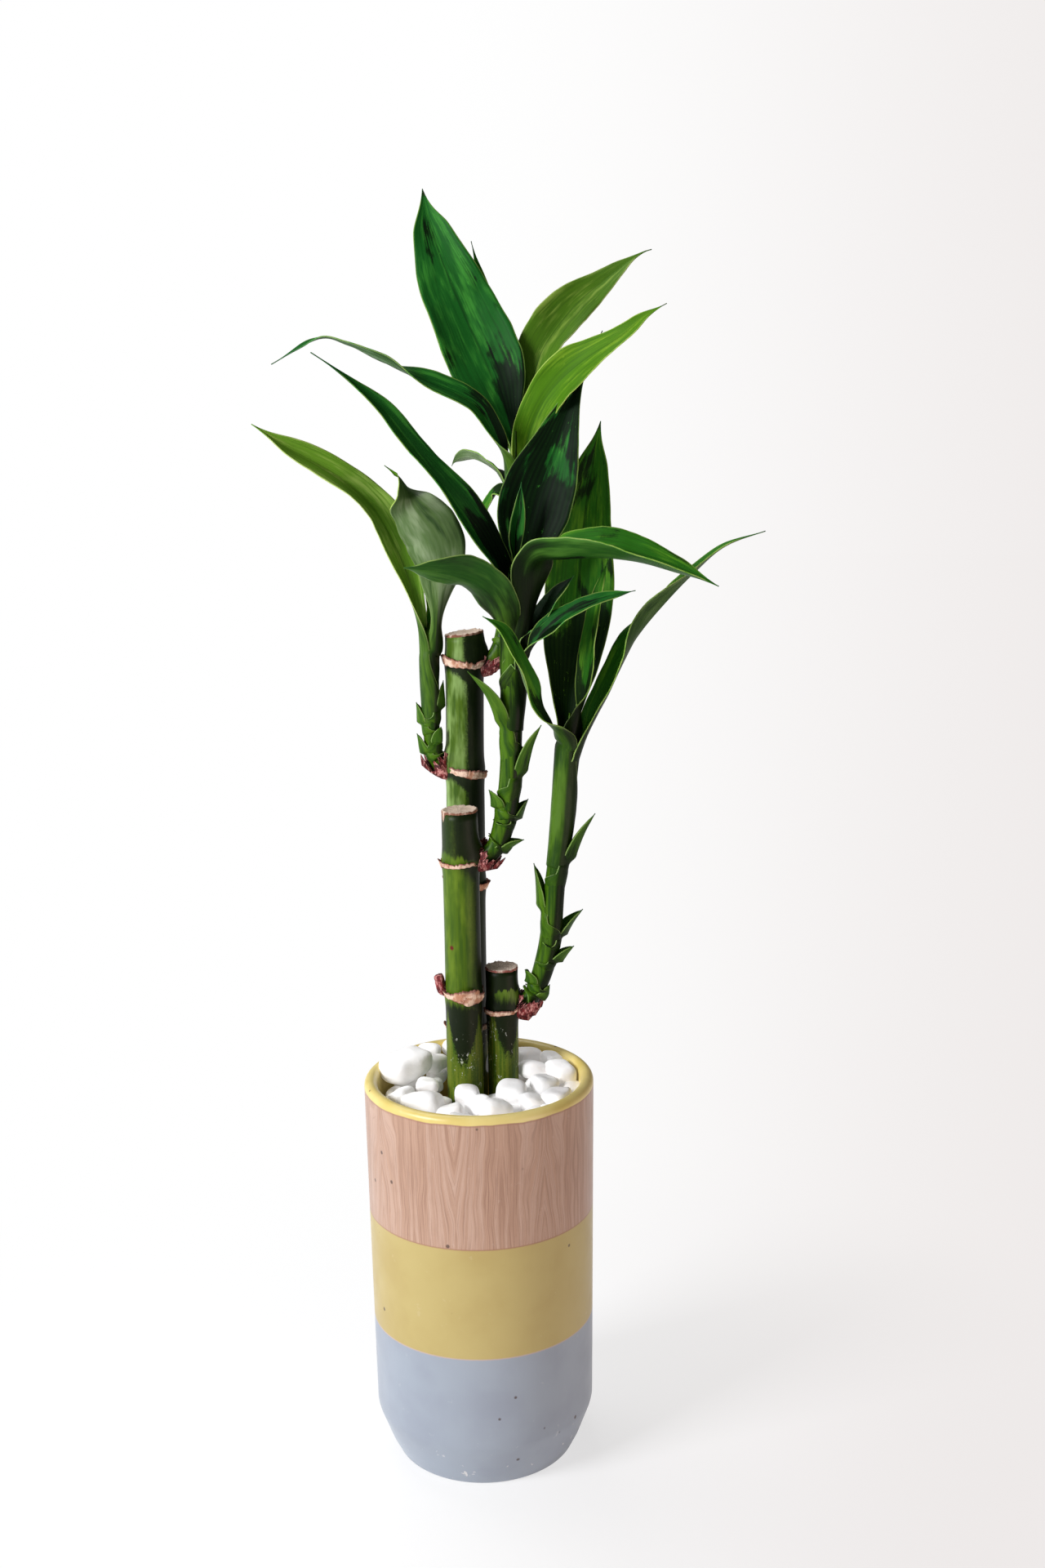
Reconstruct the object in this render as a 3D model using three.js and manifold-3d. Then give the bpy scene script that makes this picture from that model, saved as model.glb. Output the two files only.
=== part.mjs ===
// Lucky bamboo: three cut canes with four leafy shoots, standing among white pebbles in a glazed vase.
// Millimetres, +Z up, origin at the centre of the vase's foot, +X to the right and +Y to the back.

import * as THREE from 'three';
import { mergeVertices } from 'three/addons/utils/BufferGeometryUtils.js';
import Module from 'manifold-3d';

// Driving dimensions

const clearance = 0.3; // left between pieces that touch on the real plant

const vase = {
	height: 146,
	rimRadius: 42,
	shoulderRadius: 40.7,
	shoulderHeight: 18.7,
	shoulderEase: [ 0.25, 1 ], // the rounding of the shoulder, inward and up or down
	footRadius: 33.8,
	footEdge: 1.8,
	wall: 4.7,
	floor: 6,
	innerCorner: 8,
	sides: 36,
};

const bed = {
	level: 138.5, // top of the packed stones at the centre of the vase
	slope: 0.1, // the heap rises to the back
	lift: 1.5, // of a loose stone's middle above the packed stones, which it is sunk into
};

// Canes: the foot's place, the lean of the axis to +X per mm of height, the radii and the cut end's height.
// A ring is a dry leaf scar: its height, how much it rises to +X, and the shoot or stub that it carries.
const cutEnd = { height: 1.4, edge: 0.25 };
const swelling = { size: 0.45, reach: 3.5 }; // of a cane at its rings

const canes = {
	tall: {
		foot: [ -6, 20.5 ], lean: 0.011, radius: 7.3, topRadius: 6.8, top: 306.4, slant: 0.12,
		rings: [
			{ name: 'lowest', z: 158, rise: 0.08, height: 2.6 },
			{ name: 'lower', z: 213, rise: -0.06, height: 2.6 },
			{ name: 'upper', z: 255.8, rise: -0.2, height: 3, shoot: 'left' },
			{ name: 'top', z: 295.6, rise: -0.14, height: 3.2, shoot: 'top' },
		],
	},
	medium: {
		foot: [ -5.2, 5.5 ], lean: 0, radius: 6.7, topRadius: 6.5, top: 244.6, slant: 0.03,
		rings: [
			{ name: 'lower', z: 175.5, rise: -0.1, height: 3.4, stub: [ -14.6, 3.6, 183.5 ] },
			{ name: 'upper', z: 225.2, rise: 0.05, height: 2.6, shoot: 'middle' },
		],
	},
	short: {
		foot: [ 8.9, 10.5 ], lean: 0, radius: 5.4, topRadius: 6, top: 184, slant: 0,
		rings: [
			{ name: 'only', z: 167.6, rise: 0.06, height: 2.6, shoot: 'right' },
		],
	},
};

const tornRing = { flare: 1.5, foot: 0.9, tear: 0.35, dip: 0.5 }; // flare is how far the lip stands out
const collar = { start: 2.5, length: 5, wall: 1.1, sides: 9 }; // dry tissue round a shoot's base
const stub = { radius: 2.6, tip: 1, bulge: 1.5, sides: 8 }; // a dried shoot

// Scale leaves, which wrap the stem by wrap radians each way and grow out of it, their roots sunk in
const bractShape = { steps: 4, wrap: 1.35, tipWrap: 0.6, thickness: 0.9, tip: 1, root: 1.3, hug: 0.5 };

const stemShape = { root: 0.8, crown: 0.7, steps: 13, sides: 9 }; // root and crown are shares of the radius

// Shoots: the axis of each stem from inside its cane to its crown, and its small scale leaves.
// A bract has the height where it leaves the stem and its tip.
const stems = {
	left: {
		radius: 3.1,
		axis: [
			[ -7, 19.5, 255 ], [ -11, 18.5, 256.5 ], [ -14, 18, 262 ], [ -15, 18, 270 ], [ -15, 18, 284 ],
			[ -15, 18, 299 ], [ -14, 18.5, 312 ],
		],
		bracts: [
			{ from: 259, tip: [ -20.3, 17, 270.2 ] },
			{ from: 263, tip: [ -11.5, 14.5, 273 ] },
			{ from: 269, tip: [ -20.3, 18, 281.5 ] },
			{ from: 273, tip: [ -10.4, 18, 289.3 ] },
		],
	},
	top: {
		radius: 3.6,
		axis: [
			[ 0, 20.3, 292.5 ], [ 5, 20, 294.5 ], [ 10, 20, 299.5 ], [ 13, 21.5, 309 ], [ 15, 22, 328 ],
			[ 16, 23, 348 ], [ 17, 23, 364 ], [ 17, 23, 377 ],
		],
		bracts: [
			{ from: 300, tip: [ 16, 16, 311 ] },
			{ from: 306, tip: [ 10.4, 26, 324 ] },
			{ from: 318, tip: [ 20.2, 20, 334 ] },
		],
	},
	middle: {
		radius: 3.9,
		axis: [
			[ -2, 5.6, 224 ], [ 3, 5.8, 226 ], [ 8, 6, 231 ], [ 11, 6, 240 ], [ 13, 6, 253 ],
			[ 14, 6, 271 ], [ 15, 6, 289 ], [ 15, 6, 306 ], [ 16, 6, 331 ],
		],
		bracts: [
			{ from: 230, tip: [ 17.9, 6, 232.8 ] },
			{ from: 236, tip: [ 19.6, 8, 247.4 ] },
			{ from: 241, tip: [ 5.6, 3, 252 ] },
			{ from: 246, tip: [ 24.5, 2, 275.3 ] },
			{ from: 262, tip: [ -0.9, -3, 295.6 ] },
		],
	},
	right: {
		radius: 3.8,
		axis: [
			[ 11, 10.4, 167 ], [ 16, 10.2, 168.5 ], [ 20.5, 10, 173.5 ], [ 24, 10, 182 ], [ 27, 10, 195 ],
			[ 29, 10, 216 ], [ 32, 10, 240 ], [ 33.5, 10, 259 ], [ 35, 10.5, 278 ],
		],
		bracts: [
			{ from: 172, tip: [ 26.5, 9, 177 ] },
			{ from: 176, tip: [ 17.5, 7, 183.5 ] },
			{ from: 182, tip: [ 35.6, 9, 191.7 ] },
			{ from: 189, tip: [ 39.1, 13, 204.5 ] },
			{ from: 195, tip: [ 21.3, 12, 222.4 ] },
			{ from: 213, tip: [ 43.6, 8, 241.6 ] },
		],
	},
};

// Leaf section and sheath
const blade = {
	thickness: 0.7,
	steps: 11,
	strips: 4,
	wrap: 1.15, // half of the angle that the sheath goes round its stem, in radians
	sheath: 6, // length of the sheath below the point where the leaf leaves the stem
	petiole: 7.5,
	peak: 0.44,
	taper: 1.25,
	curl: 0.25,
	tipWidth: 0.9,
};

// Shares of a blade's length where the sheath has opened, the channel has flattened, and the fold is full
const opening = { sheath: 0.14, channel: 0.3, foldFrom: 0.02, foldTo: 0.2, liftFrom: 0.05, liftTo: 0.25 };
const otherEdge = 2.1; // how far the waves of one edge are out of step with the other's, in radians

const darkLeaf = '#14501c';
const midLeaf = '#2a6b1f';
const paleLeaf = '#5c861f';

// Leaves, by shoot. from: compass angle of the side of the stem that the leaf leaves, 0 for +X, 90 for +Y.
// spine: the line along the middle of the leaf, from where it leaves the stem to the tip.
// face: at a share of the blade's length, the way that the upper side looks.
// crease folds the blade at its midrib and curl bends each half, in radians.
// wave is the height of the edge's waves and waves is their number.
// peak is the share of the length where the blade is widest, and taper is how fast it narrows to its tip.
const leaves = {
	top: [
		{
			from: 200, width: 12, crease: 0.3, wave: 0.5, waves: 2.2, peak: 0.35, color: midLeaf,
			spine: [
				[ 13, 19, 370 ], [ 11, 17, 379 ], [ 7, 15, 383 ], [ 1, 14, 386 ], [ -9, 13, 390 ],
				[ -20, 13, 395 ], [ -32, 13, 403 ], [ -44, 14, 410 ], [ -56, 16, 407 ], [ -67, 18, 401 ],
			],
			face: [
				[ 0.2, 0.2, -0.75, 0.6 ], [ 0.45, 0.1, -0.6, 0.8 ], [ 0.6, 0, 0.5, 0.9 ], [ 0.75, 0, 0.2, 1 ],
				[ 0.88, -0.1, -0.6, 0.8 ],
			],
		},
		{
			from: 330, width: 15, crease: 0.25, wave: 0.9, waves: 2.5, peak: 0.34, color: paleLeaf,
			spine: [
				[ 20, 20, 368 ], [ 22, 18, 378 ], [ 27, 15, 388 ], [ 35, 12, 396 ], [ 45, 9, 402 ],
				[ 54, 7, 409 ], [ 69, 6, 419 ],
			],
			face: [
				[ 0.2, -0.5, -0.8, 0.3 ], [ 0.6, -0.3, -0.8, 0.55 ], [ 1, 0, -0.6, 0.8 ],
			],
		},
		{
			from: 90, width: 28, crease: 0.3, curl: 0.3, wave: 1, waves: 2.3, peak: 0.52, taper: 0.85,
			color: darkLeaf,
			spine: [
				[ 16, 27, 372 ], [ 15, 27, 381 ], [ 12, 29, 392 ], [ 7, 33, 406 ], [ 0, 38, 422 ],
				[ -6, 43, 438 ], [ -12, 47, 452 ], [ -15, 50, 462 ],
			],
			face: [
				[ 0.15, 0, -1, 0.2 ], [ 1, 0.1, -1, 0.2 ],
			],
		},
		{
			from: 60, width: 18, crease: 0.3, wave: 1.1, waves: 2, peak: 0.42, color: paleLeaf,
			spine: [
				[ 20, 27, 378 ], [ 22, 31, 392 ], [ 25, 34, 404 ], [ 32, 38, 415 ], [ 42, 43, 426 ],
				[ 54, 47, 436 ], [ 66, 50, 440 ],
			],
			face: [
				[ 0.2, -0.3, -0.9, 0.3 ], [ 0.6, -0.3, -0.9, 0.5 ], [ 1, 0, -0.7, 0.8 ],
			],
		},
		{
			from: 125, width: 12, crease: 0.3, wave: 0.6, waves: 1.5, color: midLeaf,
			spine: [
				[ 13, 30, 361 ], [ 8, 36, 365 ], [ 4, 43, 368 ], [ -1, 50, 368 ], [ -7, 57, 366 ],
			],
			face: [
				[ 0.25, 0.3, 0.1, 1 ], [ 0.5, 0, 0.7, 0.7 ],
			],
		},
		{
			from: 150, width: 10, crease: 0.3, wave: 0.5, waves: 1.5, color: midLeaf,
			spine: [
				[ 11, 27, 352 ], [ 8, 31, 352 ], [ 4, 34, 347 ], [ 1, 37, 340 ],
			],
			face: [
				[ 0.5, -0.5, 0.3, 0.8 ],
			],
		},
		{
			from: 105, width: 11, crease: 0.5, wave: 0.4, waves: 1.5, color: midLeaf,
			spine: [
				[ 16, 29, 380 ], [ 13, 38, 406 ], [ 9, 47, 428 ], [ 4, 54, 444 ],
			],
			face: [
				[ 0.3, 0, -1, 0.1 ],
			],
		},
	],
	middle: [
		{
			from: 215, width: 16, crease: 0.25, wave: 0.6, waves: 2, color: darkLeaf,
			spine: [
				[ 13, 0, 313 ], [ 10, -6, 321 ], [ 3, -12, 327 ], [ -6, -18, 330 ], [ -18, -26, 334 ],
			],
			face: [
				[ 0.3, 0.2, -0.7, 0.6 ], [ 1, 0.1, -0.6, 0.7 ],
			],
		},
		{
			from: 280, width: 15.5, crease: -0.15, wave: 0.6, waves: 2, peak: 0.58, color: midLeaf,
			spine: [
				[ 19, 1, 317 ], [ 20, -3, 328 ], [ 24, -8, 335 ], [ 33, -13, 338 ], [ 42, -17, 339 ],
				[ 53, -20, 338 ], [ 64, -22, 334 ], [ 74, -23, 330 ], [ 84, -24, 326 ],
			],
			face: [
				[ 0.12, -0.3, 0.8, 0.5 ], [ 0.36, 0, -0.7, 0.7 ], [ 0.8, 0.1, -0.8, 0.6 ],
			],
		},
		{
			from: 330, width: 11, crease: 0.5, wave: 0.6, waves: 1.5, color: midLeaf,
			spine: [
				[ 20, 2, 299 ], [ 22, -2, 305 ], [ 27, -5, 312 ], [ 34, -7, 317 ], [ 45, -7, 319 ],
				[ 57, -6, 323 ],
			],
			face: [
				[ 0.3, -0.5, -0.6, 0.6 ], [ 1, 0, -0.5, 0.8 ],
			],
		},
		{
			from: 0, width: 12, crease: 0.4, wave: 0.4, waves: 1.5, color: darkLeaf,
			spine: [
				[ 21, 4, 308 ], [ 24, 3, 315 ], [ 30, 2, 321 ], [ 37, 1, 328 ],
			],
			face: [
				[ 0.3, -0.6, -0.6, 0.5 ],
			],
		},
		{
			from: 160, width: 12.5, crease: 0.5, wave: 0.7, waves: 2.5, color: darkLeaf,
			spine: [
				[ 11, 4, 324 ], [ 9, 2, 333 ], [ 4, 0, 341 ], [ -4, -4, 352 ], [ -12, -7, 363 ],
				[ -20, -10, 374 ], [ -28, -12, 384 ], [ -37, -14, 394 ], [ -45, -15, 400 ], [ -50, -15, 404 ],
			],
			face: [
				[ 0.2, 0.6, -0.65, 0.4 ], [ 1, 0.5, -0.6, 0.6 ],
			],
		},
		{
			from: 70, width: 25, crease: 0.3, wave: 0.7, waves: 1.8, peak: 0.34, taper: 1.7, color: darkLeaf,
			spine: [
				[ 17, 10, 327 ], [ 18, 10, 336 ], [ 21, 11, 346 ], [ 24, 13, 356 ], [ 28, 16, 367 ],
				[ 32, 19, 380 ], [ 37, 23, 394 ], [ 47, 29, 411 ],
			],
			face: [
				[ 0.2, -0.1, -1, 0.1 ], [ 1, -0.2, -1, 0.3 ],
			],
		},
		{
			from: 100, width: 8, crease: 0.7, wave: 0.2, waves: 1, color: darkLeaf,
			spine: [
				[ 16, 6, 334 ], [ 17, 5, 342 ], [ 18, 5, 351 ], [ 19, 5, 360 ],
			],
			face: [
				[ 0.3, 0, -1, 0.1 ],
			],
		},
	],
	right: [
		{
			from: 240, width: 12, crease: 0.4, wave: 0.8, waves: 2, color: midLeaf,
			spine: [
				[ 32, 3, 273 ], [ 27, -4, 279 ], [ 22, -9, 288 ], [ 18, -13, 300 ], [ 13, -16, 310 ],
				[ 5, -18, 316 ],
			],
			face: [
				[ 0.3, 0.7, -0.4, 0.5 ], [ 1, 0.5, -0.6, 0.6 ],
			],
		},
		{
			from: 0, width: 16, crease: 0.6, wave: 0.6, waves: 2, peak: 0.35, color: midLeaf,
			spine: [
				[ 41, 9, 269 ], [ 44, 8, 282 ], [ 50, 7, 296 ], [ 58, 7, 309 ], [ 67, 9, 318 ],
				[ 79, 12, 329 ], [ 89, 14, 336 ], [ 105, 18, 341 ],
			],
			face: [
				[ 0.15, -0.8, -0.5, 0.3 ], [ 0.35, -0.7, -0.4, 0.5 ], [ 0.55, -0.5, 0.3, 0.7 ],
				[ 1, -0.2, -0.4, 0.9 ],
			],
		},
		{
			from: 300, width: 11, crease: 0.5, wave: 0.5, waves: 1.5, color: midLeaf,
			spine: [
				[ 39, 7, 278 ], [ 41, 4, 294 ], [ 44, 3, 310 ], [ 46, 3, 322 ], [ 49, 4, 334 ],
			],
			face: [
				[ 0.3, -0.8, -0.6, 0.1 ],
			],
		},
		{
			from: 95, width: 24, crease: 0.3, wave: 0.8, waves: 2, peak: 0.4, taper: 1.1, color: midLeaf,
			spine: [
				[ 34, 15, 276 ], [ 33, 17, 290 ], [ 34, 18, 305 ], [ 37, 19, 320 ], [ 40, 20, 333 ],
				[ 42, 20, 350 ], [ 44, 21, 365 ], [ 47, 22, 380 ],
			],
			face: [
				[ 0.2, 0, -1, 0.1 ],
			],
		},
		{
			from: 60, width: 12, crease: 0.5, wave: 0.6, waves: 1.5, color: midLeaf,
			spine: [
				[ 35, 16, 279 ], [ 36, 22, 298 ], [ 38, 29, 322 ], [ 40, 33, 340 ], [ 42, 35, 352 ],
			],
			face: [
				[ 0.3, -0.2, -1, 0.1 ],
			],
		},
	],
	left: [
		{
			from: 285, width: 22, crease: 0.15, wave: 0.6, waves: 1.5, peak: 0.38, taper: 1.3, color: paleLeaf,
			spine: [
				[ -13, 14, 306 ], [ -11, 12, 319 ], [ -13, 9, 333 ], [ -17, 6, 344 ], [ -20, 4, 352 ],
				[ -22, 3, 359 ], [ -28, 1, 366 ],
			],
			face: [
				[ 0.3, 0.1, 1, 0.2 ], [ 0.7, 0.2, 1, 0.3 ], [ 1, -0.6, -0.6, 0.5 ],
			],
		},
		{
			from: 180, width: 13, crease: 0.4, wave: 0.8, waves: 2.2, color: paleLeaf,
			spine: [
				[ -18, 19, 313 ], [ -18, 18, 322 ], [ -21, 18, 332 ], [ -26, 16, 342 ], [ -36, 13, 354 ],
				[ -49, 10, 365 ], [ -61, 6, 373 ], [ -73, 2, 381 ],
			],
			face: [
				[ 0.2, 0.5, -0.7, 0.5 ], [ 1, 0.4, -0.5, 0.8 ],
			],
		},
		{
			from: 90, width: 8, crease: 0.6, wave: 0.2, waves: 1, color: midLeaf,
			spine: [
				[ -14, 21, 314 ], [ -12, 22, 326 ], [ -9, 23, 338 ], [ -8, 24, 345 ],
			],
			face: [
				[ 0.3, 0, -1, 0.1 ],
			],
		},
	],
};

// Stones of the top layer that lie where they are seen, each with its turn in degrees
const stoneShape = { height: 0.75, sides: 7, rows: 5, lumps: [ 0.08, 0.07 ] }; // height is per width
const placedStones = [
	{ x: -27.5, y: 11.5, lift: 3.6, length: 19, width: 14, turn: 40 },
	{ x: -28.5, y: -8, lift: 2, length: 11, width: 9, turn: 60 },
	{ x: -20, y: -14, lift: 2.2, length: 15, width: 12, turn: -20 },
	{ x: -17.5, y: 19, lift: 2, length: 11, width: 9, turn: 60 },
	{ x: -20, y: 28, lift: 1.6, length: 9, width: 8, turn: 0 },
	{ x: -10, y: 32.5, lift: 1.4, length: 9, width: 7, turn: 10 },
	{ x: -10, y: -18, lift: 1.2, length: 10, width: 8, turn: 0 },
	{ x: -5, y: -28, lift: 2, length: 13, width: 10, turn: -8 },
	{ x: 6.5, y: -20, lift: 2.4, length: 12, width: 10, turn: 12 },
	{ x: 11.5, y: -5, lift: 2, length: 11, width: 11, turn: 0 },
	{ x: 18, y: -25, lift: 1.8, length: 13, width: 9, turn: 25 },
	{ x: 20, y: 12, lift: 2, length: 11, width: 9, turn: 10 },
	{ x: 30, y: 10, lift: 2.2, length: 13, width: 10, turn: -65 },
	{ x: 19.5, y: -13, lift: 1.4, length: 9, width: 8, turn: 100 },
	{ x: 24, y: 1, lift: 2, length: 10, width: 9, turn: 30 },
	{ x: 28.5, y: -10, lift: 2, length: 13, width: 10, turn: 60 },
	{ x: 18, y: 24, lift: 1.8, length: 11, width: 9, turn: 30 },
	{ x: 27, y: 21.5, lift: 1.6, length: 9, width: 8, turn: 120 },
	{ x: 9, y: 31, lift: 1.4, length: 11, width: 8, turn: 0 },
	{ x: -19, y: 2, lift: 1.4, length: 9, width: 8, turn: 0 },
	{ x: -17, y: -27, lift: 1.4, length: 10, width: 8, turn: 35 },
	{ x: 6, y: -31, lift: 1.2, length: 10, width: 8, turn: 10 },
];

// The rest are dropped in by chance where they fit. spacing and caneGap are shares of the stones' lengths.
const stoneRule = {
	seed: 29,
	tries: 200,
	lengths: [ 9, 12 ],
	slimmest: 0.75,
	rimGap: 4.5,
	spacing: 0.44,
	caneGap: 0.3,
	tip: 0.25, // in radians
};

const wasm = await Module();
wasm.setup();

const { lerp, smoothstep, degToRad } = THREE.MathUtils;
const up = new THREE.Vector3( 0, 0, 1 );

// Solids

function toSolid( geometry ) {

	geometry.deleteAttribute( 'normal' );
	geometry.deleteAttribute( 'uv' );
	const merged = mergeVertices( geometry, 1e-4 );
	const index = merged.index.array;
	const triangles = [];
	for ( let i = 0; i < index.length; i += 3 ) {

		const [ a, b, c ] = [ index[ i ], index[ i + 1 ], index[ i + 2 ] ];
		if ( a !== b && b !== c && c !== a ) triangles.push( a, b, c );

	}

	return new wasm.Manifold( new wasm.Mesh( {
		numProp: 3,
		vertProperties: new Float32Array( merged.attributes.position.array ),
		triVerts: new Uint32Array( triangles ),
	} ) );

}

function toGeometry( solid ) {

	const { vertProperties, triVerts } = solid.getMesh();
	const geometry = new THREE.BufferGeometry();
	geometry.setAttribute( 'position', new THREE.BufferAttribute( vertProperties, 3 ) );
	geometry.setIndex( new THREE.BufferAttribute( triVerts, 1 ) );
	geometry.computeVertexNormals();
	return geometry;

}

function geometryOf( points, triangles ) {

	const geometry = new THREE.BufferGeometry();
	const numbers = points.flatMap( ( p ) => p.toArray() );
	geometry.setAttribute( 'position', new THREE.Float32BufferAttribute( numbers, 3 ) );
	geometry.setIndex( triangles );
	return geometry;

}

// A skin over rows of points. Each row is a closed loop. The rows end in caps, or join up in a hoop.
function skin( rows, isHoop = false ) {

	const size = rows[ 0 ].length;
	const points = rows.flat();
	const triangles = [];
	const spans = isHoop ? rows.length : rows.length - 1;
	for ( let i = 0; i < spans; i ++ ) {

		const near = i * size;
		const far = ( ( i + 1 ) % rows.length ) * size;
		for ( let j = 0; j < size; j ++ ) {

			const k = ( j + 1 ) % size;
			triangles.push( near + j, near + k, far + k, near + j, far + k, far + j );

		}

	}

	if ( ! isHoop ) {

		const last = points.length - size;
		for ( const [ first, isEnd ] of [ [ 0, false ], [ last, true ] ] ) {

			const row = points.slice( first, first + size );
			const centre = row.reduce( ( sum, p ) => sum.add( p ), new THREE.Vector3() ).divideScalar( size );
			const hub = points.push( centre ) - 1;
			for ( let j = 0; j < size; j ++ ) {

				const k = ( j + 1 ) % size;
				triangles.push( hub, first + ( isEnd ? j : k ), first + ( isEnd ? k : j ) );

			}

		}

	}

	return toSolid( geometryOf( points, triangles ) );

}

// A thin sheet between two grids of points, split into triangles alike on both faces
function sheet( upper, lower ) {

	const rows = upper.length;
	const columns = upper[ 0 ].length;
	const points = [ ...upper.flat(), ...lower.flat() ];
	const under = rows * columns;
	const triangles = [];
	const quad = ( a, b, c, d ) => triangles.push( a, b, c, a, c, d );
	for ( let i = 0; i < rows - 1; i ++ ) {

		for ( let j = 0; j < columns - 1; j ++ ) {

			const a = i * columns + j;
			const [ b, c, d ] = [ a + 1, a + columns + 1, a + columns ];
			quad( a, b, c, d );
			triangles.push( under + c, under + b, under + a, under + d, under + c, under + a );

		}

		const left = i * columns;
		const right = left + columns - 1;
		quad( left, left + columns, under + left + columns, under + left );
		quad( right, under + right, under + right + columns, right + columns );

	}

	const last = ( rows - 1 ) * columns;
	for ( let j = 0; j < columns - 1; j ++ ) {

		quad( j, under + j, under + j + 1, j + 1 );
		quad( last + j, last + j + 1, under + last + j + 1, under + last + j );

	}

	return toSolid( geometryOf( points, triangles ) );

}

function curveThrough( points ) {

	const places = points.map( ( p ) => new THREE.Vector3( ...p ) );
	return new THREE.CatmullRomCurve3( places, false, 'catmullrom', 0.5 );

}

// A round rod along a curve, with a radius for each share of its length
function rod( curve, radiusAt, steps, sides ) {

	const rows = [];
	let side = new THREE.Vector3( 1, 0, 0 );
	for ( let i = 0; i <= steps; i ++ ) {

		const share = i / steps;
		const centre = curve.getPointAt( share );
		const along = curve.getTangentAt( share );
		side = side.clone().addScaledVector( along, - side.dot( along ) ).normalize();
		const across = along.clone().cross( side );
		rows.push( Array.from( { length: sides }, ( _, j ) => {

			const angle = 2 * Math.PI * j / sides;
			return centre.clone()
				.addScaledVector( side, radiusAt( share ) * Math.cos( angle ) )
				.addScaledVector( across, radiusAt( share ) * Math.sin( angle ) );

		} ) );

	}

	return skin( rows );

}

// A profile of [radius, height] points turned about the vertical axis
function turned( profile, sides ) {

	const points = profile.map( ( [ r, z ] ) => new THREE.Vector2( r, z ) );
	const geometry = new THREE.LatheGeometry( points, sides );
	return toSolid( geometry.rotateX( Math.PI / 2 ) );

}

function arc( [ r, z ], radius, fromDegrees, toDegrees, steps ) {

	return Array.from( { length: steps + 1 }, ( _, i ) => {

		const angle = degToRad( lerp( fromDegrees, toDegrees, i / steps ) );
		return [ r + radius * Math.cos( angle ), z + radius * Math.sin( angle ) ];

	} );

}

function largestPiece( solid ) {

	return solid.decompose().reduce( ( best, piece ) => piece.volume() > best.volume() ? piece : best );

}

function boxesMeet( a, b ) {

	const [ first, second ] = [ a.boundingBox(), b.boundingBox() ];
	return [ 0, 1, 2 ].every( ( k ) => first.min[ k ] < second.max[ k ] && second.min[ k ] < first.max[ k ] );

}

function cutClear( solid, obstacles ) {

	const near = obstacles.filter( ( other ) => boxesMeet( solid, other ) );
	return near.reduce( ( rest, other ) => rest.subtract( other ), solid );

}

// Vase

function innerRadiusAt( z ) {

	const slope = ( vase.rimRadius - vase.shoulderRadius ) / ( vase.height - vase.shoulderHeight );
	return vase.rimRadius - vase.wall - slope * ( vase.height - z );

}

function innerProfile( inset, top ) {

	const corner = vase.innerCorner;
	const bottom = vase.floor + inset;
	const radius = innerRadiusAt( bottom + corner ) - inset;
	return [ [ 0, bottom ], ...arc( [ radius - corner, bottom + corner ], corner, - 90, 0, 3 ),
		[ innerRadiusAt( top ) - inset, top ] ];

}

function vaseSolid() {

	const lip = vase.wall / 2;
	const edge = vase.footEdge;
	const [ easeIn, easeUp ] = vase.shoulderEase;
	const outside = [
		[ 0, 0 ],
		...arc( [ vase.footRadius - edge, edge ], edge, - 90, - 20, 2 ),
		[ vase.shoulderRadius - easeIn, vase.shoulderHeight - easeUp ],
		[ vase.shoulderRadius, vase.shoulderHeight + easeUp ],
		...arc( [ vase.rimRadius - lip, vase.height - lip ], lip, 0, 180, 5 ),
	];
	return turned( [ ...outside, ...innerProfile( 0, vase.height - lip ).reverse().slice( 1 ) ], vase.sides );

}

// Canes

function caneRadiusAt( cane, z ) {

	const share = ( z - vase.floor ) / ( cane.top - vase.floor );
	const swell = ( ring ) => swelling.size * Math.exp( - ( ( ( z - ring.z ) / swelling.reach ) ** 2 ) );
	const swollen = cane.rings.reduce( ( sum, ring ) => sum + swell( ring ), 0 );
	return lerp( cane.radius, cane.topRadius, share ** 3 ) + swollen;

}

function caneCentreAt( cane, z ) {

	return new THREE.Vector3( cane.foot[ 0 ] + cane.lean * ( z - vase.floor ), cane.foot[ 1 ], z );

}

function caneLoop( cane, z, grow, slant, sides ) {

	const centre = caneCentreAt( cane, z );
	const radius = caneRadiusAt( cane, z ) + grow;
	return Array.from( { length: sides }, ( _, j ) => {

		const angle = 2 * Math.PI * j / sides;
		const out = new THREE.Vector3( radius * Math.cos( angle ), radius * Math.sin( angle ), 0 );
		return centre.clone().add( out ).setZ( z + slant * out.x );

	} );

}

const caneSides = 16;

function caneSolid( cane, grow = 0 ) {

	const foot = vase.floor + clearance - grow;
	const end = cane.top - cutEnd.height - clearance + grow;
	const reach = swelling.reach + 0.5;
	const heights = [ foot, ...cane.rings.flatMap( ( { z } ) => [ z - reach, z, z + reach ] ) ];
	const loops = heights.map( ( z ) => caneLoop( cane, z, grow, 0, caneSides ) );
	return skin( [ ...loops, caneLoop( cane, end, grow, cane.slant, caneSides ) ] );

}

function cutEndSolid( cane ) {

	const bottom = cane.top - cutEnd.height;
	return skin( [
		caneLoop( cane, bottom, 0, cane.slant, caneSides ),
		caneLoop( cane, cane.top - cutEnd.edge, 0, cane.slant, caneSides ),
		caneLoop( cane, cane.top, - 2 * cutEnd.edge, cane.slant, caneSides ),
	] );

}

// Shoots

function axisPointAt( stem, z ) {

	let [ low, high ] = [ 0, 1 ];
	for ( let i = 0; i < 24; i ++ ) {

		const middle = ( low + high ) / 2;
		if ( stem.curve.getPoint( middle ).z < z ) low = middle;
		else high = middle;

	}

	return stem.curve.getPoint( low );

}

function stemRadiusAt( stem, share ) {

	const { root, crown } = stemShape;
	const rootward = lerp( root, 1, smoothstep( share, 0, 0.25 ) );
	return stem.radius * rootward * lerp( 1, crown, smoothstep( share, 0.9, 1 ) );

}

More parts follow.
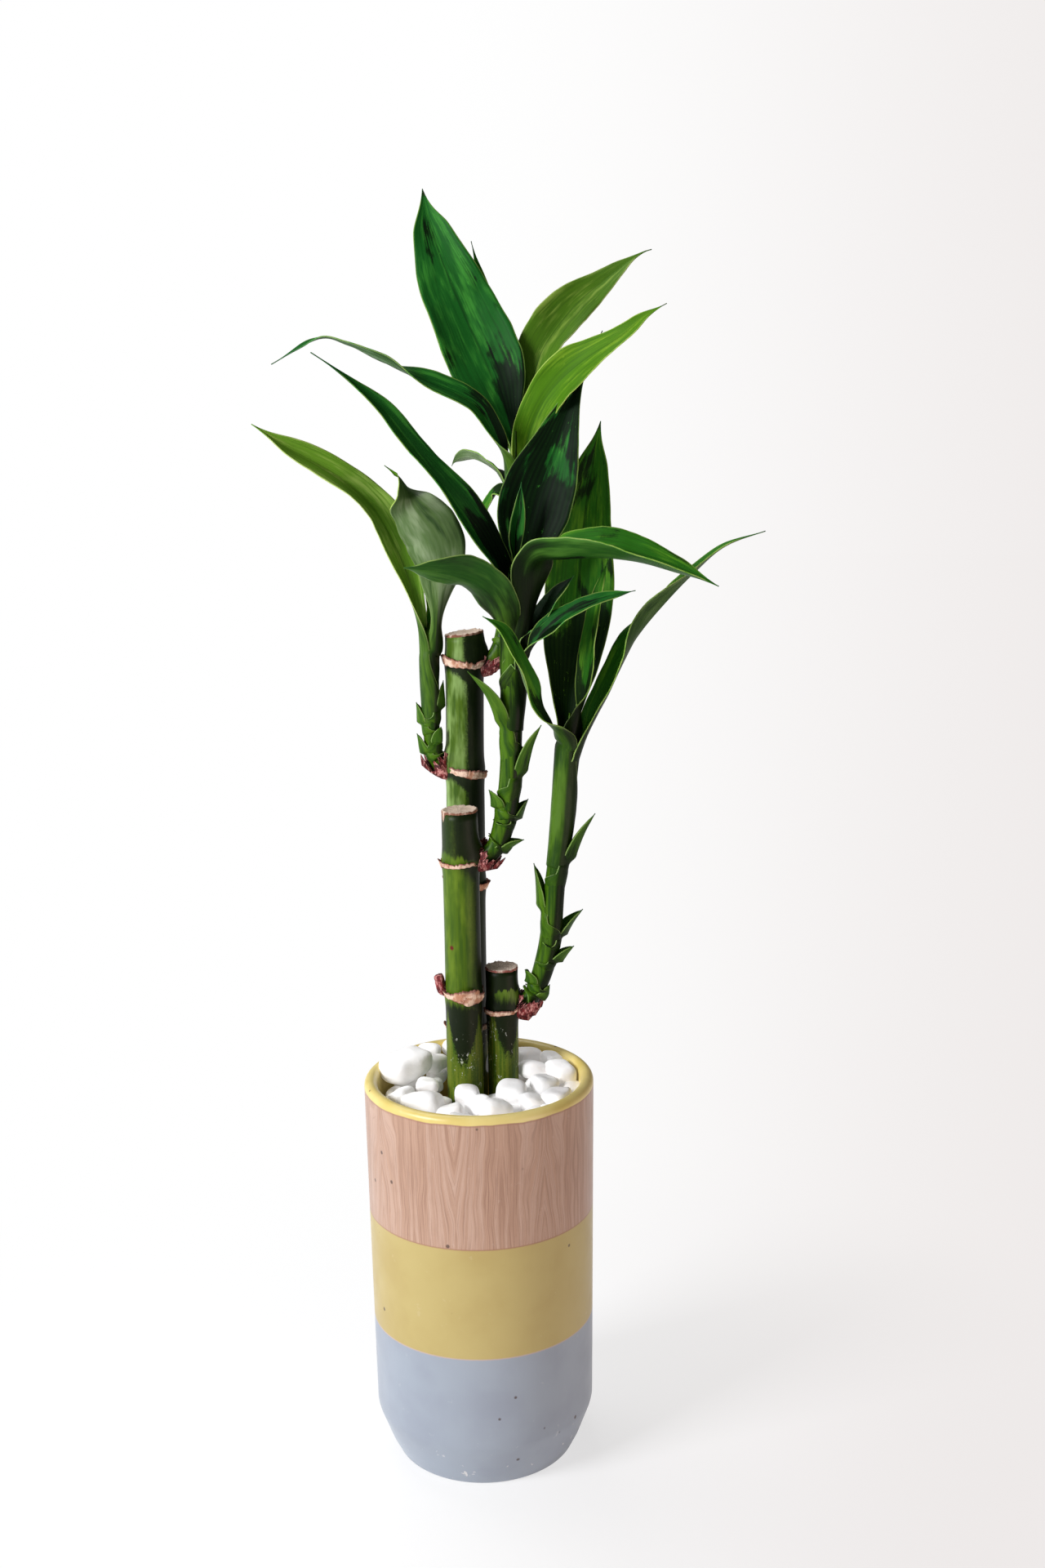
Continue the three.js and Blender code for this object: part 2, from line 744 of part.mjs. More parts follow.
function stemRod( stem, grow = 0 ) {

	const radiusAt = ( share ) => stemRadiusAt( stem, share ) + grow;
	return rod( stem.curve, radiusAt, stemShape.steps, stemShape.sides );

}

// A point of a folded section, by short chords whose slope grows from crease to crease + curl
function sectionPoint( s, halfWidth, crease, curl, strips ) {

	let [ across, rise ] = [ 0, 0 ];
	const count = Math.round( Math.abs( s ) * strips / 2 );
	const chord = 2 * halfWidth / strips;
	for ( let i = 0; i < count; i ++ ) {

		const slope = crease + curl * ( i + 0.5 ) / ( strips / 2 );
		across += chord * Math.cos( slope );
		rise += chord * Math.sin( slope );

	}

	return [ Math.sign( s ) * across, rise ];

}

function faceAt( faces, share ) {

	const next = faces.findIndex( ( [ at ] ) => at >= share );
	if ( next < 0 ) return new THREE.Vector3( ...faces.at( - 1 ).slice( 1 ) );
	if ( next === 0 ) return new THREE.Vector3( ...faces[ 0 ].slice( 1 ) );
	const [ before, after ] = [ faces[ next - 1 ], faces[ next ] ];
	const blend = smoothstep( share, before[ 0 ], after[ 0 ] );
	return new THREE.Vector3( ...before.slice( 1 ) ).normalize()
		.lerp( new THREE.Vector3( ...after.slice( 1 ) ).normalize(), blend );

}

// The width of a leaf at a share of its blade: the sheath round the stem, the petiole and the lance
function leafWidthAt( leaf, share, sheathWidth ) {

	const { peak = blade.peak, taper = blade.taper } = leaf;
	const rise = taper * peak / ( 1 - peak );
	const outline = ( share / peak ) ** rise * ( ( 1 - share ) / ( 1 - peak ) ) ** taper;
	const open = Math.hypot( leaf.width * outline, blade.petiole * ( 1 - share ) ** 4 );
	return Math.max( lerp( sheathWidth, open, smoothstep( share, 0, opening.sheath ) ), blade.tipWidth );

}

function leafSolid( stem, leaf, grow = 0 ) {

	const { steps, strips, sheath } = blade;
	const halfThickness = blade.thickness / 2 + grow;
	const outward = new THREE.Vector3( 1, 0, 0 ).applyAxisAngle( up, degToRad( leaf.from ) );
	const standOff = stem.radius + 1.3 * clearance + blade.thickness / 2;
	const onStem = ( z ) => axisPointAt( stem, z ).addScaledVector( outward, standOff ).toArray();
	const start = leaf.spine[ 0 ][ 2 ];
	const midrib = curveThrough( [ onStem( start - sheath ), onStem( start - 0.4 * sheath ), ...leaf.spine ] );
	const length = midrib.getLength();
	const faces = [ [ 0, - outward.x, - outward.y, 0 ], ...leaf.face ];
	const upper = [];
	const lower = [];
	for ( let i = 0; i <= steps; i ++ ) {

		const share = Math.max( 0, ( i / steps * length - sheath ) / ( length - sheath ) );
		const tangent = midrib.getTangentAt( i / steps );
		const across = tangent.clone().cross( faceAt( faces, share ) ).normalize();
		const normal = across.clone().cross( tangent );
		const halfWidth = leafWidthAt( leaf, share, 2 * blade.wrap * standOff ) / 2 + grow;
		const curl = lerp( blade.wrap, leaf.curl ?? blade.curl, smoothstep( share, 0, opening.channel ) );
		const crease = leaf.crease * smoothstep( share, opening.foldFrom, opening.foldTo ) * ( 1 - 0.5 * share );
		const [ , edgeRise ] = sectionPoint( 1, halfWidth, crease, curl, strips );
		const lift = 0.5 * edgeRise * smoothstep( share, opening.liftFrom, opening.liftTo );
		const centre = midrib.getPointAt( i / steps ).addScaledVector( normal, - lift );
		const [ upperRow, lowerRow ] = [ [], [] ];
		for ( let j = 0; j <= strips; j ++ ) {

			const side = 2 * j / strips - 1;
			const [ x, y ] = sectionPoint( side, halfWidth, crease, curl, strips );
			const phase = 2 * Math.PI * leaf.waves * share + ( side > 0 ? otherEdge : 0 );
			const ripple = leaf.wave * Math.sin( phase ) * side ** 2 * Math.sin( Math.PI * share );
			const slope = Math.sign( side ) * ( crease + curl * Math.abs( side ) );
			const point = centre.clone().addScaledVector( across, x ).addScaledVector( normal, y + ripple );
			const out = normal.clone().applyAxisAngle( tangent, - slope );
			upperRow.push( point.clone().addScaledVector( out, halfThickness ) );
			lowerRow.push( point.clone().addScaledVector( out, - halfThickness ) );

		}

		upper.push( upperRow );
		lower.push( lowerRow );

	}

	return sheet( upper, lower );

}

function bractSolid( stem, bract ) {

	const { steps, wrap, thickness } = bractShape;
	const tip = new THREE.Vector3( ...bract.tip );
	const foot = axisPointAt( stem, bract.from );
	const outward = tip.clone().sub( foot ).setZ( 0 ).normalize();
	const hugHeight = lerp( bract.from, tip.z, 0.3 );
	const root = foot.clone().addScaledVector( outward, stem.radius - bractShape.root );
	const hug = axisPointAt( stem, hugHeight ).addScaledVector( outward, stem.radius + bractShape.hug );
	const spread = hug.clone().lerp( tip, 0.55 ).addScaledVector( outward, bractShape.hug );
	const midrib = curveThrough( [ root, hug, spread, tip ].map( ( p ) => p.toArray() ) );
	const upper = [];
	const lower = [];
	for ( let i = 0; i <= steps; i ++ ) {

		const share = i / steps;
		const centre = midrib.getPointAt( share );
		const tangent = midrib.getTangentAt( share );
		const across = outward.clone().cross( tangent ).normalize();
		const normal = across.clone().cross( tangent );
		const narrow = lerp( 0.7, 1, smoothstep( share, 0, 0.25 ) ) * ( 1 - share ) ** 0.9;
		const halfWidth = Math.max( wrap * stem.radius * narrow, bractShape.tip / 2 );
		const curl = lerp( wrap, bractShape.tipWrap, share );
		const [ upperRow, lowerRow ] = [ [], [] ];
		for ( const side of [ - 1, 0, 1 ] ) {

			const [ x, y ] = sectionPoint( side, halfWidth, 0, curl, 2 );
			const slope = curl * side;
			const point = centre.clone().addScaledVector( across, x ).addScaledVector( normal, y );
			const out = normal.clone().applyAxisAngle( tangent, - slope );
			upperRow.push( point.clone().addScaledVector( out, thickness / 2 ) );
			lowerRow.push( point.clone().addScaledVector( out, - thickness / 2 ) );

		}

		upper.push( upperRow );
		lower.push( lowerRow );

	}

	return sheet( upper, lower );

}

// Rings

// A hoop round the cane whose lip flares upwards and is torn by two sines of the angle
function ringSolid( cane, ring, index ) {

	const { flare, foot, tear, dip } = tornRing;
	const inner = caneRadiusAt( cane, ring.z ) + clearance;
	const rows = [];
	for ( let i = 0; i < caneSides; i ++ ) {

		const angle = - 2 * Math.PI * i / caneSides;
		const out = new THREE.Vector3( Math.cos( angle ), Math.sin( angle ), 0 );
		const torn = tear * ( Math.sin( 5 * angle + index ) + 0.7 * Math.sin( 9 * angle + 2 * index ) );
		const top = ring.height / 2 + torn;
		const section = [
			[ inner, - ring.height / 2 ],
			[ inner + foot, - ring.height / 2 + 0.2 ],
			[ inner + flare + torn, top ],
			[ inner, top - dip ],
		];
		const centre = caneCentreAt( cane, ring.z + ring.rise * inner * out.x );
		const place = ( [ r, z ] ) => centre.clone().addScaledVector( out, r ).addScaledVector( up, z );
		rows.push( section.map( place ) );

	}

	return skin( rows, true );

}

function collarSolid( stem ) {

	const whole = stem.curve.getLength();
	const shareAt = ( part ) => ( collar.start + part * collar.length ) / whole;
	const place = ( part ) => stem.curve.getPointAt( shareAt( part ) ).toArray();
	const radiusAt = ( part ) => stem.radius + clearance + collar.wall * lerp( 1.2, 0.7, part );
	return rod( curveThrough( [ 0, 0.35, 0.7, 1 ].map( place ) ), radiusAt, 3, collar.sides );

}

function stubSolid( cane, ring ) {

	const root = caneCentreAt( cane, ring.z );
	const tip = new THREE.Vector3( ...ring.stub );
	const bulge = root.clone().lerp( tip, 0.75 ).setZ( ring.z + stub.bulge );
	const curve = curveThrough( [ root, bulge, tip ].map( ( p ) => p.toArray() ) );
	return rod( curve, ( share ) => lerp( stub.radius, stub.tip, share ), 5, stub.sides );

}

// Pebbles

function bedLevelAt( y ) {

	return bed.level + bed.slope * y;

}

function stoneSolid( { x, y, lift, length, width, turn, tip } ) {

	const geometry = new THREE.SphereGeometry( 1, stoneShape.sides, stoneShape.rows );
	const position = geometry.attributes.position;
	const [ lumpX, lumpY ] = stoneShape.lumps;
	for ( let i = 0; i < position.count; i ++ ) {

		const p = new THREE.Vector3().fromBufferAttribute( position, i );
		p.multiplyScalar( 1 + lumpX * Math.sin( 3 * p.x + turn ) + lumpY * Math.sin( 4 * p.y + 2 * turn ) );
		position.setXYZ( i, p.x * length / 2, p.y * width / 2, p.z * width * stoneShape.height / 2 );

	}

	geometry.rotateX( tip ).rotateZ( degToRad( turn ) ).translate( x, y, bedLevelAt( y ) + lift );
	return toSolid( geometry );

}

// The next of a fixed row of numbers from 0 to 1, by the minimal standard generator
function randomFrom( seed ) {

	const [ factor, modulus ] = [ 16807, 2147483647 ];
	let state = seed;
	return () => {

		state = state * factor % modulus;
		return state / modulus;

	};

}

function allStones() {

	const rule = stoneRule;
	const random = randomFrom( rule.seed );
	const all = placedStones.map( ( stone ) => ( { ...stone, tip: 0 } ) );
	for ( let i = 0; i < rule.tries; i ++ ) {

		const reach = ( innerRadiusAt( bed.level ) - rule.rimGap ) * Math.sqrt( random() );
		const angle = 2 * Math.PI * random();
		const [ x, y ] = [ reach * Math.cos( angle ), reach * Math.sin( angle ) ];
		const length = lerp( ...rule.lengths, random() );
		const width = length * lerp( rule.slimmest, 1, random() );
		const turn = 180 * random();
		const tip = lerp( - rule.tip, rule.tip, random() );
		const distanceTo = ( otherX, otherY ) => Math.hypot( otherX - x, otherY - y );
		const isApart = ( other ) => distanceTo( other.x, other.y ) > rule.spacing * ( other.length + length );
		const isOffCane = ( { foot, radius } ) => distanceTo( ...foot ) > radius + rule.caneGap * length;
		if ( all.every( isApart ) && Object.values( canes ).every( isOffCane ) ) {

			all.push( { x, y, lift: bed.lift, length, width, turn, tip } );

		}

	}

	return all;

}

function pebbleSolid() {

	const above = vase.height + bed.lift;
	const inside = turned( [ ...innerProfile( clearance, above ), [ 0, above ] ], vase.sides );
	const slab = new THREE.BoxGeometry( 3 * vase.rimRadius, 3 * vase.rimRadius, bed.level );
	slab.translate( 0, 0, - bed.level / 2 ).rotateX( Math.atan( bed.slope ) ).translate( 0, 0, bed.level );
	const heap = allStones().map( stoneSolid ).reduce( ( sum, stone ) => sum.add( stone ), toSolid( slab ) );
	const holes = Object.values( canes ).map( ( cane ) => caneSolid( cane, clearance ) );
	return largestPiece( cutClear( heap.intersect( inside ), holes ) );

}

// Assembly

const plant = new THREE.Group();

function addMesh( name, solid, color, roughness ) {

	const material = new THREE.MeshStandardMaterial( { color, roughness, metalness: 0 } );
	const mesh = new THREE.Mesh( toGeometry( solid ), material );
	mesh.name = name;
	plant.add( mesh );

}

addMesh( 'vase', vaseSolid(), '#c2ab48', 0.35 );
addMesh( 'pebbles', pebbleSolid(), '#ece8e2', 0.6 );

const grownCanes = {};
for ( const [ name, cane ] of Object.entries( canes ) ) {

	grownCanes[ name ] = caneSolid( cane, clearance );
	addMesh( `cane_${ name }`, caneSolid( cane ), '#2f5a1c', 0.35 );
	addMesh( `cut_end_${ name }`, cutEndSolid( cane ), '#c9a58c', 0.8 );

}

const grownStems = [];
for ( const [ name, stem ] of Object.entries( stems ) ) {

	stem.curve = curveThrough( stem.axis );
	grownStems.push( stemRod( stem, clearance ) );
	const bracts = stem.bracts.map( ( bract ) => bractSolid( stem, bract ) );
	const whole = bracts.reduce( ( sum, bract ) => sum.add( bract ), stemRod( stem ) );
	const clear = largestPiece( cutClear( whole, Object.values( grownCanes ) ) );
	addMesh( `stem_${ name }`, clear, '#2c6420', 0.4 );

}

for ( const [ caneName, cane ] of Object.entries( canes ) ) {

	const otherNames = Object.keys( canes ).filter( ( name ) => name !== caneName );
	const others = otherNames.map( ( name ) => grownCanes[ name ] );
	const own = caneSolid( cane, 1.2 * clearance );
	cane.rings.forEach( ( ring, index ) => {

		let solid = ringSolid( cane, ring, index );
		if ( ring.shoot ) solid = solid.add( collarSolid( stems[ ring.shoot ] ).subtract( own ) );
		if ( ring.stub ) solid = solid.add( stubSolid( cane, ring ).subtract( own ) );
		const clear = largestPiece( cutClear( solid, [ ...others, ...grownStems ] ) );
		addMesh( `ring_${ caneName }_${ ring.name }`, clear, '#a8705a', 0.85 );

	} );

}

// Each leaf gives way to the ones before it
const grownLeaves = [];
for ( const [ shoot, group ] of Object.entries( leaves ) ) {

	group.forEach( ( leaf, index ) => {

		const solid = cutClear( leafSolid( stems[ shoot ], leaf ), [ ...grownStems, ...grownLeaves ] );
		addMesh( `leaf_${ shoot }_${ index + 1 }`, largestPiece( solid ), leaf.color, 0.4 );
		grownLeaves.push( leafSolid( stems[ shoot ], leaf, 1.2 * clearance ) );

	} );

}

export default plant;
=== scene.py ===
import math
import random

import bpy
from mathutils import Matrix, Vector, noise


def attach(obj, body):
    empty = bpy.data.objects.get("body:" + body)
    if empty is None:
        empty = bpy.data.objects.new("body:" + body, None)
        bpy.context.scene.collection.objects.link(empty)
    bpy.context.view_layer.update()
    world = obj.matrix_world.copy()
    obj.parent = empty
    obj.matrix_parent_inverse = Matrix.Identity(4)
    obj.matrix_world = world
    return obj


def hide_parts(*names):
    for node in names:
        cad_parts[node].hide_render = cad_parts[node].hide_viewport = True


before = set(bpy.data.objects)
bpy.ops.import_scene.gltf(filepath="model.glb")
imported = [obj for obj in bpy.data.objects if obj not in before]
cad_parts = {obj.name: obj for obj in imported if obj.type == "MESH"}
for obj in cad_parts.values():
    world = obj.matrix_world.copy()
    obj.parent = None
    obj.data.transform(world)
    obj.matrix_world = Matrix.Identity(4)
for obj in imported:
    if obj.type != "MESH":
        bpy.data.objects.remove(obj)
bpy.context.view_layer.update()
print("frame loaded with", len(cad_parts), "nodes")

mm = 0.001
inMm = 1000  # shaders read places in metres
tau = 2 * math.pi
shadeWay = Vector((0.93, 0.36, 0))  # the way that the side of the plant under painted shade faces


# From one number or wire of a node tree towards another
def lerp(low, high, share):
    return low + (high - low) * share


# Node trees written as maths


# One way of joining two wires, or a wire and a value. Reflected, the wire is the second of the two.
def operator(kind, isReflected=False):
    def joined(wire, other):
        return wire.graph.maths(kind, *((other, wire) if isReflected else (wire, other)))

    return joined


# A socket that takes part in an expression. Numbers go through Math nodes, vectors through Vector Math.
class Wire:
    def __init__(self, graph, socket):
        self.graph = graph
        self.socket = socket

    def isVector(self):
        return self.socket.type == "VECTOR"

    def other(self, name):
        return Wire(self.graph, self.socket.node.outputs[name])

    def parts(self):
        split = self.graph.node("ShaderNodeSeparateXYZ", {}, {0: self})
        return split, split.other("Y"), split.other("Z")

    def does(self, kind, *others):
        return self.graph.maths(kind, self, *others)

    __add__ = operator("ADD")
    __radd__ = operator("ADD", isReflected=True)
    __sub__ = operator("SUBTRACT")
    __rsub__ = operator("SUBTRACT", isReflected=True)
    __mul__ = operator("MULTIPLY")
    __rmul__ = operator("MULTIPLY", isReflected=True)
    __truediv__ = operator("DIVIDE")
    __rtruediv__ = operator("DIVIDE", isReflected=True)
    __pow__ = operator("POWER")

    def __neg__(self):
        return self * -1


class Graph:
    def __init__(self, tree):
        self.tree = tree

    # any node: its type, its settings, then the values or links of its sockets
    def node(self, kind, settings, inputs, output=None):
        made = self.tree.nodes.new(kind)
        for name, value in settings.items():
            setattr(made, name, value)
        for name, value in inputs.items():
            if isinstance(name, int):
                socket = made.inputs[name]
            else:
                socket = next(s for s in made.inputs if s.name == name and s.enabled)
            if isinstance(value, Wire):
                self.tree.links.new(value.socket, socket)
            else:
                socket.default_value = value
        shown = [s for s in made.outputs if s.enabled]
        return Wire(self, made.outputs[output] if output else shown[0])

    def maths(self, kind, *values):
        vectors = [v for v in values if isinstance(v, Vector) or isinstance(v, Wire) and v.isVector()]
        inputs = dict(enumerate(values))
        if kind == "MULTIPLY" and len(vectors) == 1:
            kind = "SCALE"
            inputs = {0: vectors[0], "Scale": values[1] if values[0] is vectors[0] else values[0]}
        family = "ShaderNodeVectorMath" if vectors else "ShaderNodeMath"
        return self.node(family, {"operation": kind}, inputs)

    def join(self, x, y, z=0):
        return self.node("ShaderNodeCombineXYZ", {}, {0: x, 1: y, 2: z})

    # goes from 0 at low to 1 at high, softly
    def ease(self, value, low, high, start=0, end=1):
        inputs = {"Value": value, "From Min": low, "From Max": high, "To Min": start, "To Max": end}
        return self.node("ShaderNodeMapRange", {"interpolation_type": "SMOOTHSTEP"}, inputs)

    # the same around a border, over twice its softness
    def step(self, value, border, softness):
        return self.ease(value, border - softness, border + softness)

    def mix(self, mask, low, high):
        return self.node("ShaderNodeMix", {"data_type": "RGBA"}, {"Factor": mask, "A": low, "B": high})

    def grain(self, place, scale, detail=2, roughness=0.5):
        inputs = {"Vector": place, "Scale": scale, "Detail": detail, "Roughness": roughness}
        return self.node("ShaderNodeTexNoise", {}, inputs)

    # noise at a place that up to three values give
    def flow(self, x, y, z=0, detail=2, roughness=0.5):
        return self.grain(self.join(x, y, z), 1, detail, roughness)


def rgb(hexCode):
    values = [int(hexCode[i:i + 2], 16) / 255 for i in (1, 3, 5)]
    linear = [v / 12.92 if v <= 0.04045 else ((v + 0.055) / 1.055) ** 2.4 for v in values]
    return (*linear, 1)


# A material round one Principled shader, whose fixed values are set on its own sockets
class Finish(Graph):
    def __init__(self, name, **fixed):
        self.material = bpy.data.materials.new(name)
        self.material.use_nodes = True
        Graph.__init__(self, self.material.node_tree)
        self.shader = self.tree.nodes["Principled BSDF"]
        self.colour = None
        for label, value in fixed.items():
            self.shader.inputs[label.replace("_", " ")].default_value = value

    def place(self):
        return self.node("ShaderNodeTexCoord", {}, {}, "Object")

    def attribute(self, name):
        return self.node("ShaderNodeAttribute", {"attribute_name": name}, {}, "Fac")

    def blend(self, mask, low, high):
        return self.mix(mask, *[rgb(tone) if isinstance(tone, str) else tone for tone in (low, high)])

    # lays a tone over the colour so far, where the mask is 1
    def paint(self, mask, tone):
        self.colour = self.blend(mask, self.colour, tone)

    def cells(self, place, scale):
        return self.node("ShaderNodeTexVoronoi", {}, {"Vector": place, "Scale": scale, "Randomness": 1})

    def bump(self, height, depth):
        return self.node("ShaderNodeBump", {}, {"Height": height, "Distance": depth})

    def feed(self, **links):
        for label, wire in {"Base_Color": self.colour, **links}.items():
            self.tree.links.new(wire.socket, self.shader.inputs[label.replace("_", " ")])
        return self.material


# Mesh makers, in millimetres


def smoothstep(value, low, high):
    share = min(max((value - low) / (high - low), 0), 1)
    return share * share * (3 - 2 * share)


def ray(angle):
    return Vector((math.cos(angle), math.sin(angle), 0))


# A soft hill, 1 high in its middle
def hill(off, width):
    return math.exp(-(off / width) ** 2)


# Uniform Catmull-Rom curve through the points, as even steps of its length
def smoothPath(points, steps, fineSteps=30):
    places = [Vector(p) for p in points]
    places = [2 * places[0] - places[1], *places, 2 * places[-1] - places[-2]]
    fine = []
    for a, b, c, d in zip(places, places[1:], places[2:], places[3:]):
        for i in range(fineSteps):
            t = i / fineSteps
            bend = (2 * a - 5 * b + 4 * c - d) * t ** 2 + (3 * b - a - 3 * c + d) * t ** 3
            fine.append(b + 0.5 * ((c - a) * t + bend))
    fine.append(places[-2])
    runs = [0]
    for before, after in zip(fine, fine[1:]):
        runs.append(runs[-1] + (after - before).length)
    path = []
    k = 0
    for i in range(steps + 1):
        run = runs[-1] * i / steps
        while k < len(runs) - 2 and runs[k + 1] < run:
            k += 1
        share = (run - runs[k]) / (runs[k + 1] - runs[k])
        path.append(fine[k].lerp(fine[k + 1], min(share, 1)))
    return path, runs[-1]


def addMaterials(mesh, materials):
    for material in materials:
        mesh.materials.append(material)


class Shape:
    def __init__(self):
        self.points = []
        self.faces = []
        self.finishes = []

    # skins rows of points, each a closed loop. A hoop joins its last row to its first, and other ends
    # get a fan round their middle.
    def skin(self, rows, finish=0, isHoop=False, caps=(True, True)):
        first = len(self.points)
        sides = len(rows[0])
        for row in rows:
            self.points += row
        pairs = len(rows) if isHoop else len(rows) - 1
        for i in range(pairs):
            for j in range(sides):
                near = first + i * sides
                far = first + (i + 1) % len(rows) * sides
                k = (j + 1) % sides
                self.faces.append((near + j, near + k, far + k, far + j))
        if not isHoop:
            for hasCap, row, isTop in ((caps[0], 0, False), (caps[1], len(rows) - 1, True)):
                if hasCap:
                    start = first + row * sides
                    self.points.append(sum(rows[row], Vector()) / sides)
                    middle = len(self.points) - 1
                    for j in range(sides):
                        pair = (start + j, start + (j + 1) % sides)
                        self.faces.append((*(pair if isTop else pair[::-1]), middle))
        self.finishes += [finish] * (len(self.faces) - len(self.finishes))

    def mesh(self, name, materials):
        mesh = bpy.data.meshes.new(name)
        mesh.from_pydata([p * mm for p in self.points], [], self.faces)
        addMaterials(mesh, materials)
        mesh.polygons.foreach_set("material_index", self.finishes)
        mesh.polygons.foreach_set("use_smooth", [True] * len(self.faces))
        mesh.validate()
        return mesh


def turnedRow(radius, height, sides):
    return [ray(tau * j / sides) * radius + Vector((0, 0, height)) for j in range(sides)]


# A round rod along a path, with a radius for each share of its length
def rodRows(path, radiusAt, sides):
    rows = []
    side = Vector((1, 0, 0))
    for i, centre in enumerate(path):
        share = i / (len(path) - 1)
        along = (path[min(i + 1, len(path) - 1)] - path[max(i - 1, 0)]).normalized()
        side = (side - along * side.dot(along)).normalized()
        across = along.cross(side)
        row = []
        for j in range(sides):
            angle = tau * j / sides
            out = side * math.cos(angle) + across * math.sin(angle)
            row.append(centre + out * radiusAt(share, angle))
        rows.append(row)
    return rows


def newObject(name, data):
    made = bpy.data.objects.new(name, data)
    bpy.context.scene.collection.objects.link(made)
    return made


def addPiece(name, mesh, slot, *nodes):
    settle(newObject(name, mesh), slot, *nodes)


# Every piece rides on the one body, and most stand for a CAD node
def settle(piece, slot, *nodes):
    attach(piece, "root")
    if nodes:
        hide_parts(*nodes)


# Geometry Nodes tools


def newTool(name, sizes):
    tree = bpy.data.node_groups.new(name, "GeometryNodeTree")
    kinds = {int: "NodeSocketInt", float: "NodeSocketFloat"}
    tree.interface.new_socket("Geometry", in_out="INPUT", socket_type="NodeSocketGeometry")
    for label, value in sizes.items():
        kind = kinds.get(type(value), "NodeSocketMaterial")
        socket = tree.interface.new_socket(label, in_out="INPUT", socket_type=kind)
        if value is not None:
            socket.default_value = value
    tree.interface.new_socket("Geometry", in_out="OUTPUT", socket_type="NodeSocketGeometry")
    graph = Graph(tree)
    entry = tree.nodes.new("NodeGroupInput")
    return graph, {label: Wire(graph, entry.outputs[label]) for label in ["Geometry", *sizes]}


def namedVector(graph, name):
    return graph.node("GeometryNodeInputNamedAttribute", {"data_type": "FLOAT_VECTOR"}, {"Name": name})


def closeTool(graph, geometry, finish):
    smooth = graph.node("GeometryNodeSetShadeSmooth", {}, {0: geometry})
    real = graph.node("GeometryNodeRealizeInstances", {}, {0: smooth})
    done = graph.node("GeometryNodeSetMaterial", {}, {"Geometry": real, "Material": finish})
    leave = graph.tree.nodes.new("NodeGroupOutput")
    graph.tree.links.new(done.socket, leave.inputs[0])
    return graph.tree


# Runs the tool on a mesh and keeps the plain mesh that comes out
def runTool(name, mesh, tree, values, materials, thickness=0):
    # a grid or ball that a tool makes has an empty slot first, so its own finish is in the second
    addMaterials(mesh, (materials[0], *materials))
    piece = newObject(name, mesh)
    modifier = piece.modifiers.new(tree.name, "NODES")
    modifier.node_group = tree
    sockets = {s.name: s.identifier for s in tree.interface.items_tree if s.in_out == "INPUT"}
    for label, value in values.items():
        modifier[sockets[label]] = value
    if thickness:
        wall = piece.modifiers.new("wall", "SOLIDIFY")
        wall.thickness = thickness
        wall.offset = 0
        wall.material_offset = 1
        wall.material_offset_rim = 2
    reach = bpy.context.evaluated_depsgraph_get()
    made = bpy.data.meshes.new_from_object(piece.evaluated_get(reach), depsgraph=reach)
    piece.modifiers.clear()
    finishes = [polygon.material_index - 1 for polygon in made.polygons]
    made.materials.clear()
    addMaterials(made, materials)
    made.polygons.foreach_set("material_index", finishes)
    piece.data = made
    return piece


# Camera, light and floor

camera = {
    "place": (0.0176, -0.6227, 0.3876),
    "pitch": 12.06,  # degrees down from level
    "roll": -0.86,
    "lens": 41.25,
}


def addCamera(look):
    pitch = math.radians(look["pitch"])
    roll = math.radians(look["roll"])
    ahead = Vector((0, math.cos(pitch), -math.sin(pitch)))
    up = Vector((0, math.sin(pitch), math.cos(pitch)))
    right = Vector((1, 0, 0))
    tiltedRight = right * math.cos(roll) + up * math.sin(roll)
    tiltedUp = up * math.cos(roll) - right * math.sin(roll)
    data = bpy.data.cameras.new("camera")
    data.sensor_width = 36
    data.lens = look["lens"]
    data.clip_start = 0.01
    made = newObject("camera", data)
    turn = Matrix((tiltedRight, tiltedUp, -ahead)).transposed()
    made.matrix_world = Matrix.Translation(look["place"]) @ turn.to_4x4()
    bpy.context.scene.camera = made


aimHeight = 0.22  # which the higher lights look at, about the middle of the plant
lights = {
    "key": {"place": (-1.25, -0.85, 0.9), "width": 0.6, "power": 33, "tint": "#fafbff"},
    "top": {"place": (-0.3, 0.5, 1.5), "width": 0.8, "power": 8, "tint": "#ffffff"},
    "card": {"place": (-1.2, 0.55, 0.3), "width": 1.1, "power": 4, "tint": "#f4f8ff"},
    "low": {"place": (0.5, -0.4, 0.07), "width": 0.25, "power": 1.2, "tint": "#ffe2d4"},
}


def addLight(name, look):
    data = bpy.data.lights.new(name, "AREA")
    data.size = look["width"]
    data.energy = look["power"]
    data.color = rgb(look["tint"])[:3]
    made = newObject(name, data)
    made.location = look["place"]
    aim = Vector((0, 0, min(look["place"][2], aimHeight))) - made.location
    made.rotation_mode = "QUATERNION"
    made.rotation_quaternion = aim.to_track_quat("-Z", "Y")


sky = {
    "seen": "#ffffff",
    "seenRight": "#efebea",
    "turn": (-0.05, 0.35),  # where the paper goes from the one to the other
    "light": 0.14,  # of the surroundings on the plant
    "bounce": 0.5,  # of the floor's glow on the plant
    "shadow": 0.68,  # glow of the floor by the foot, where the plant's shadow shows
    "shadowReach": (0.03, 0.3),
    "behind": 0.62,  # from the camera to the foot
    "rings": (4000, 1500, 500, 100),  # of the floor's mesh, in mm
}


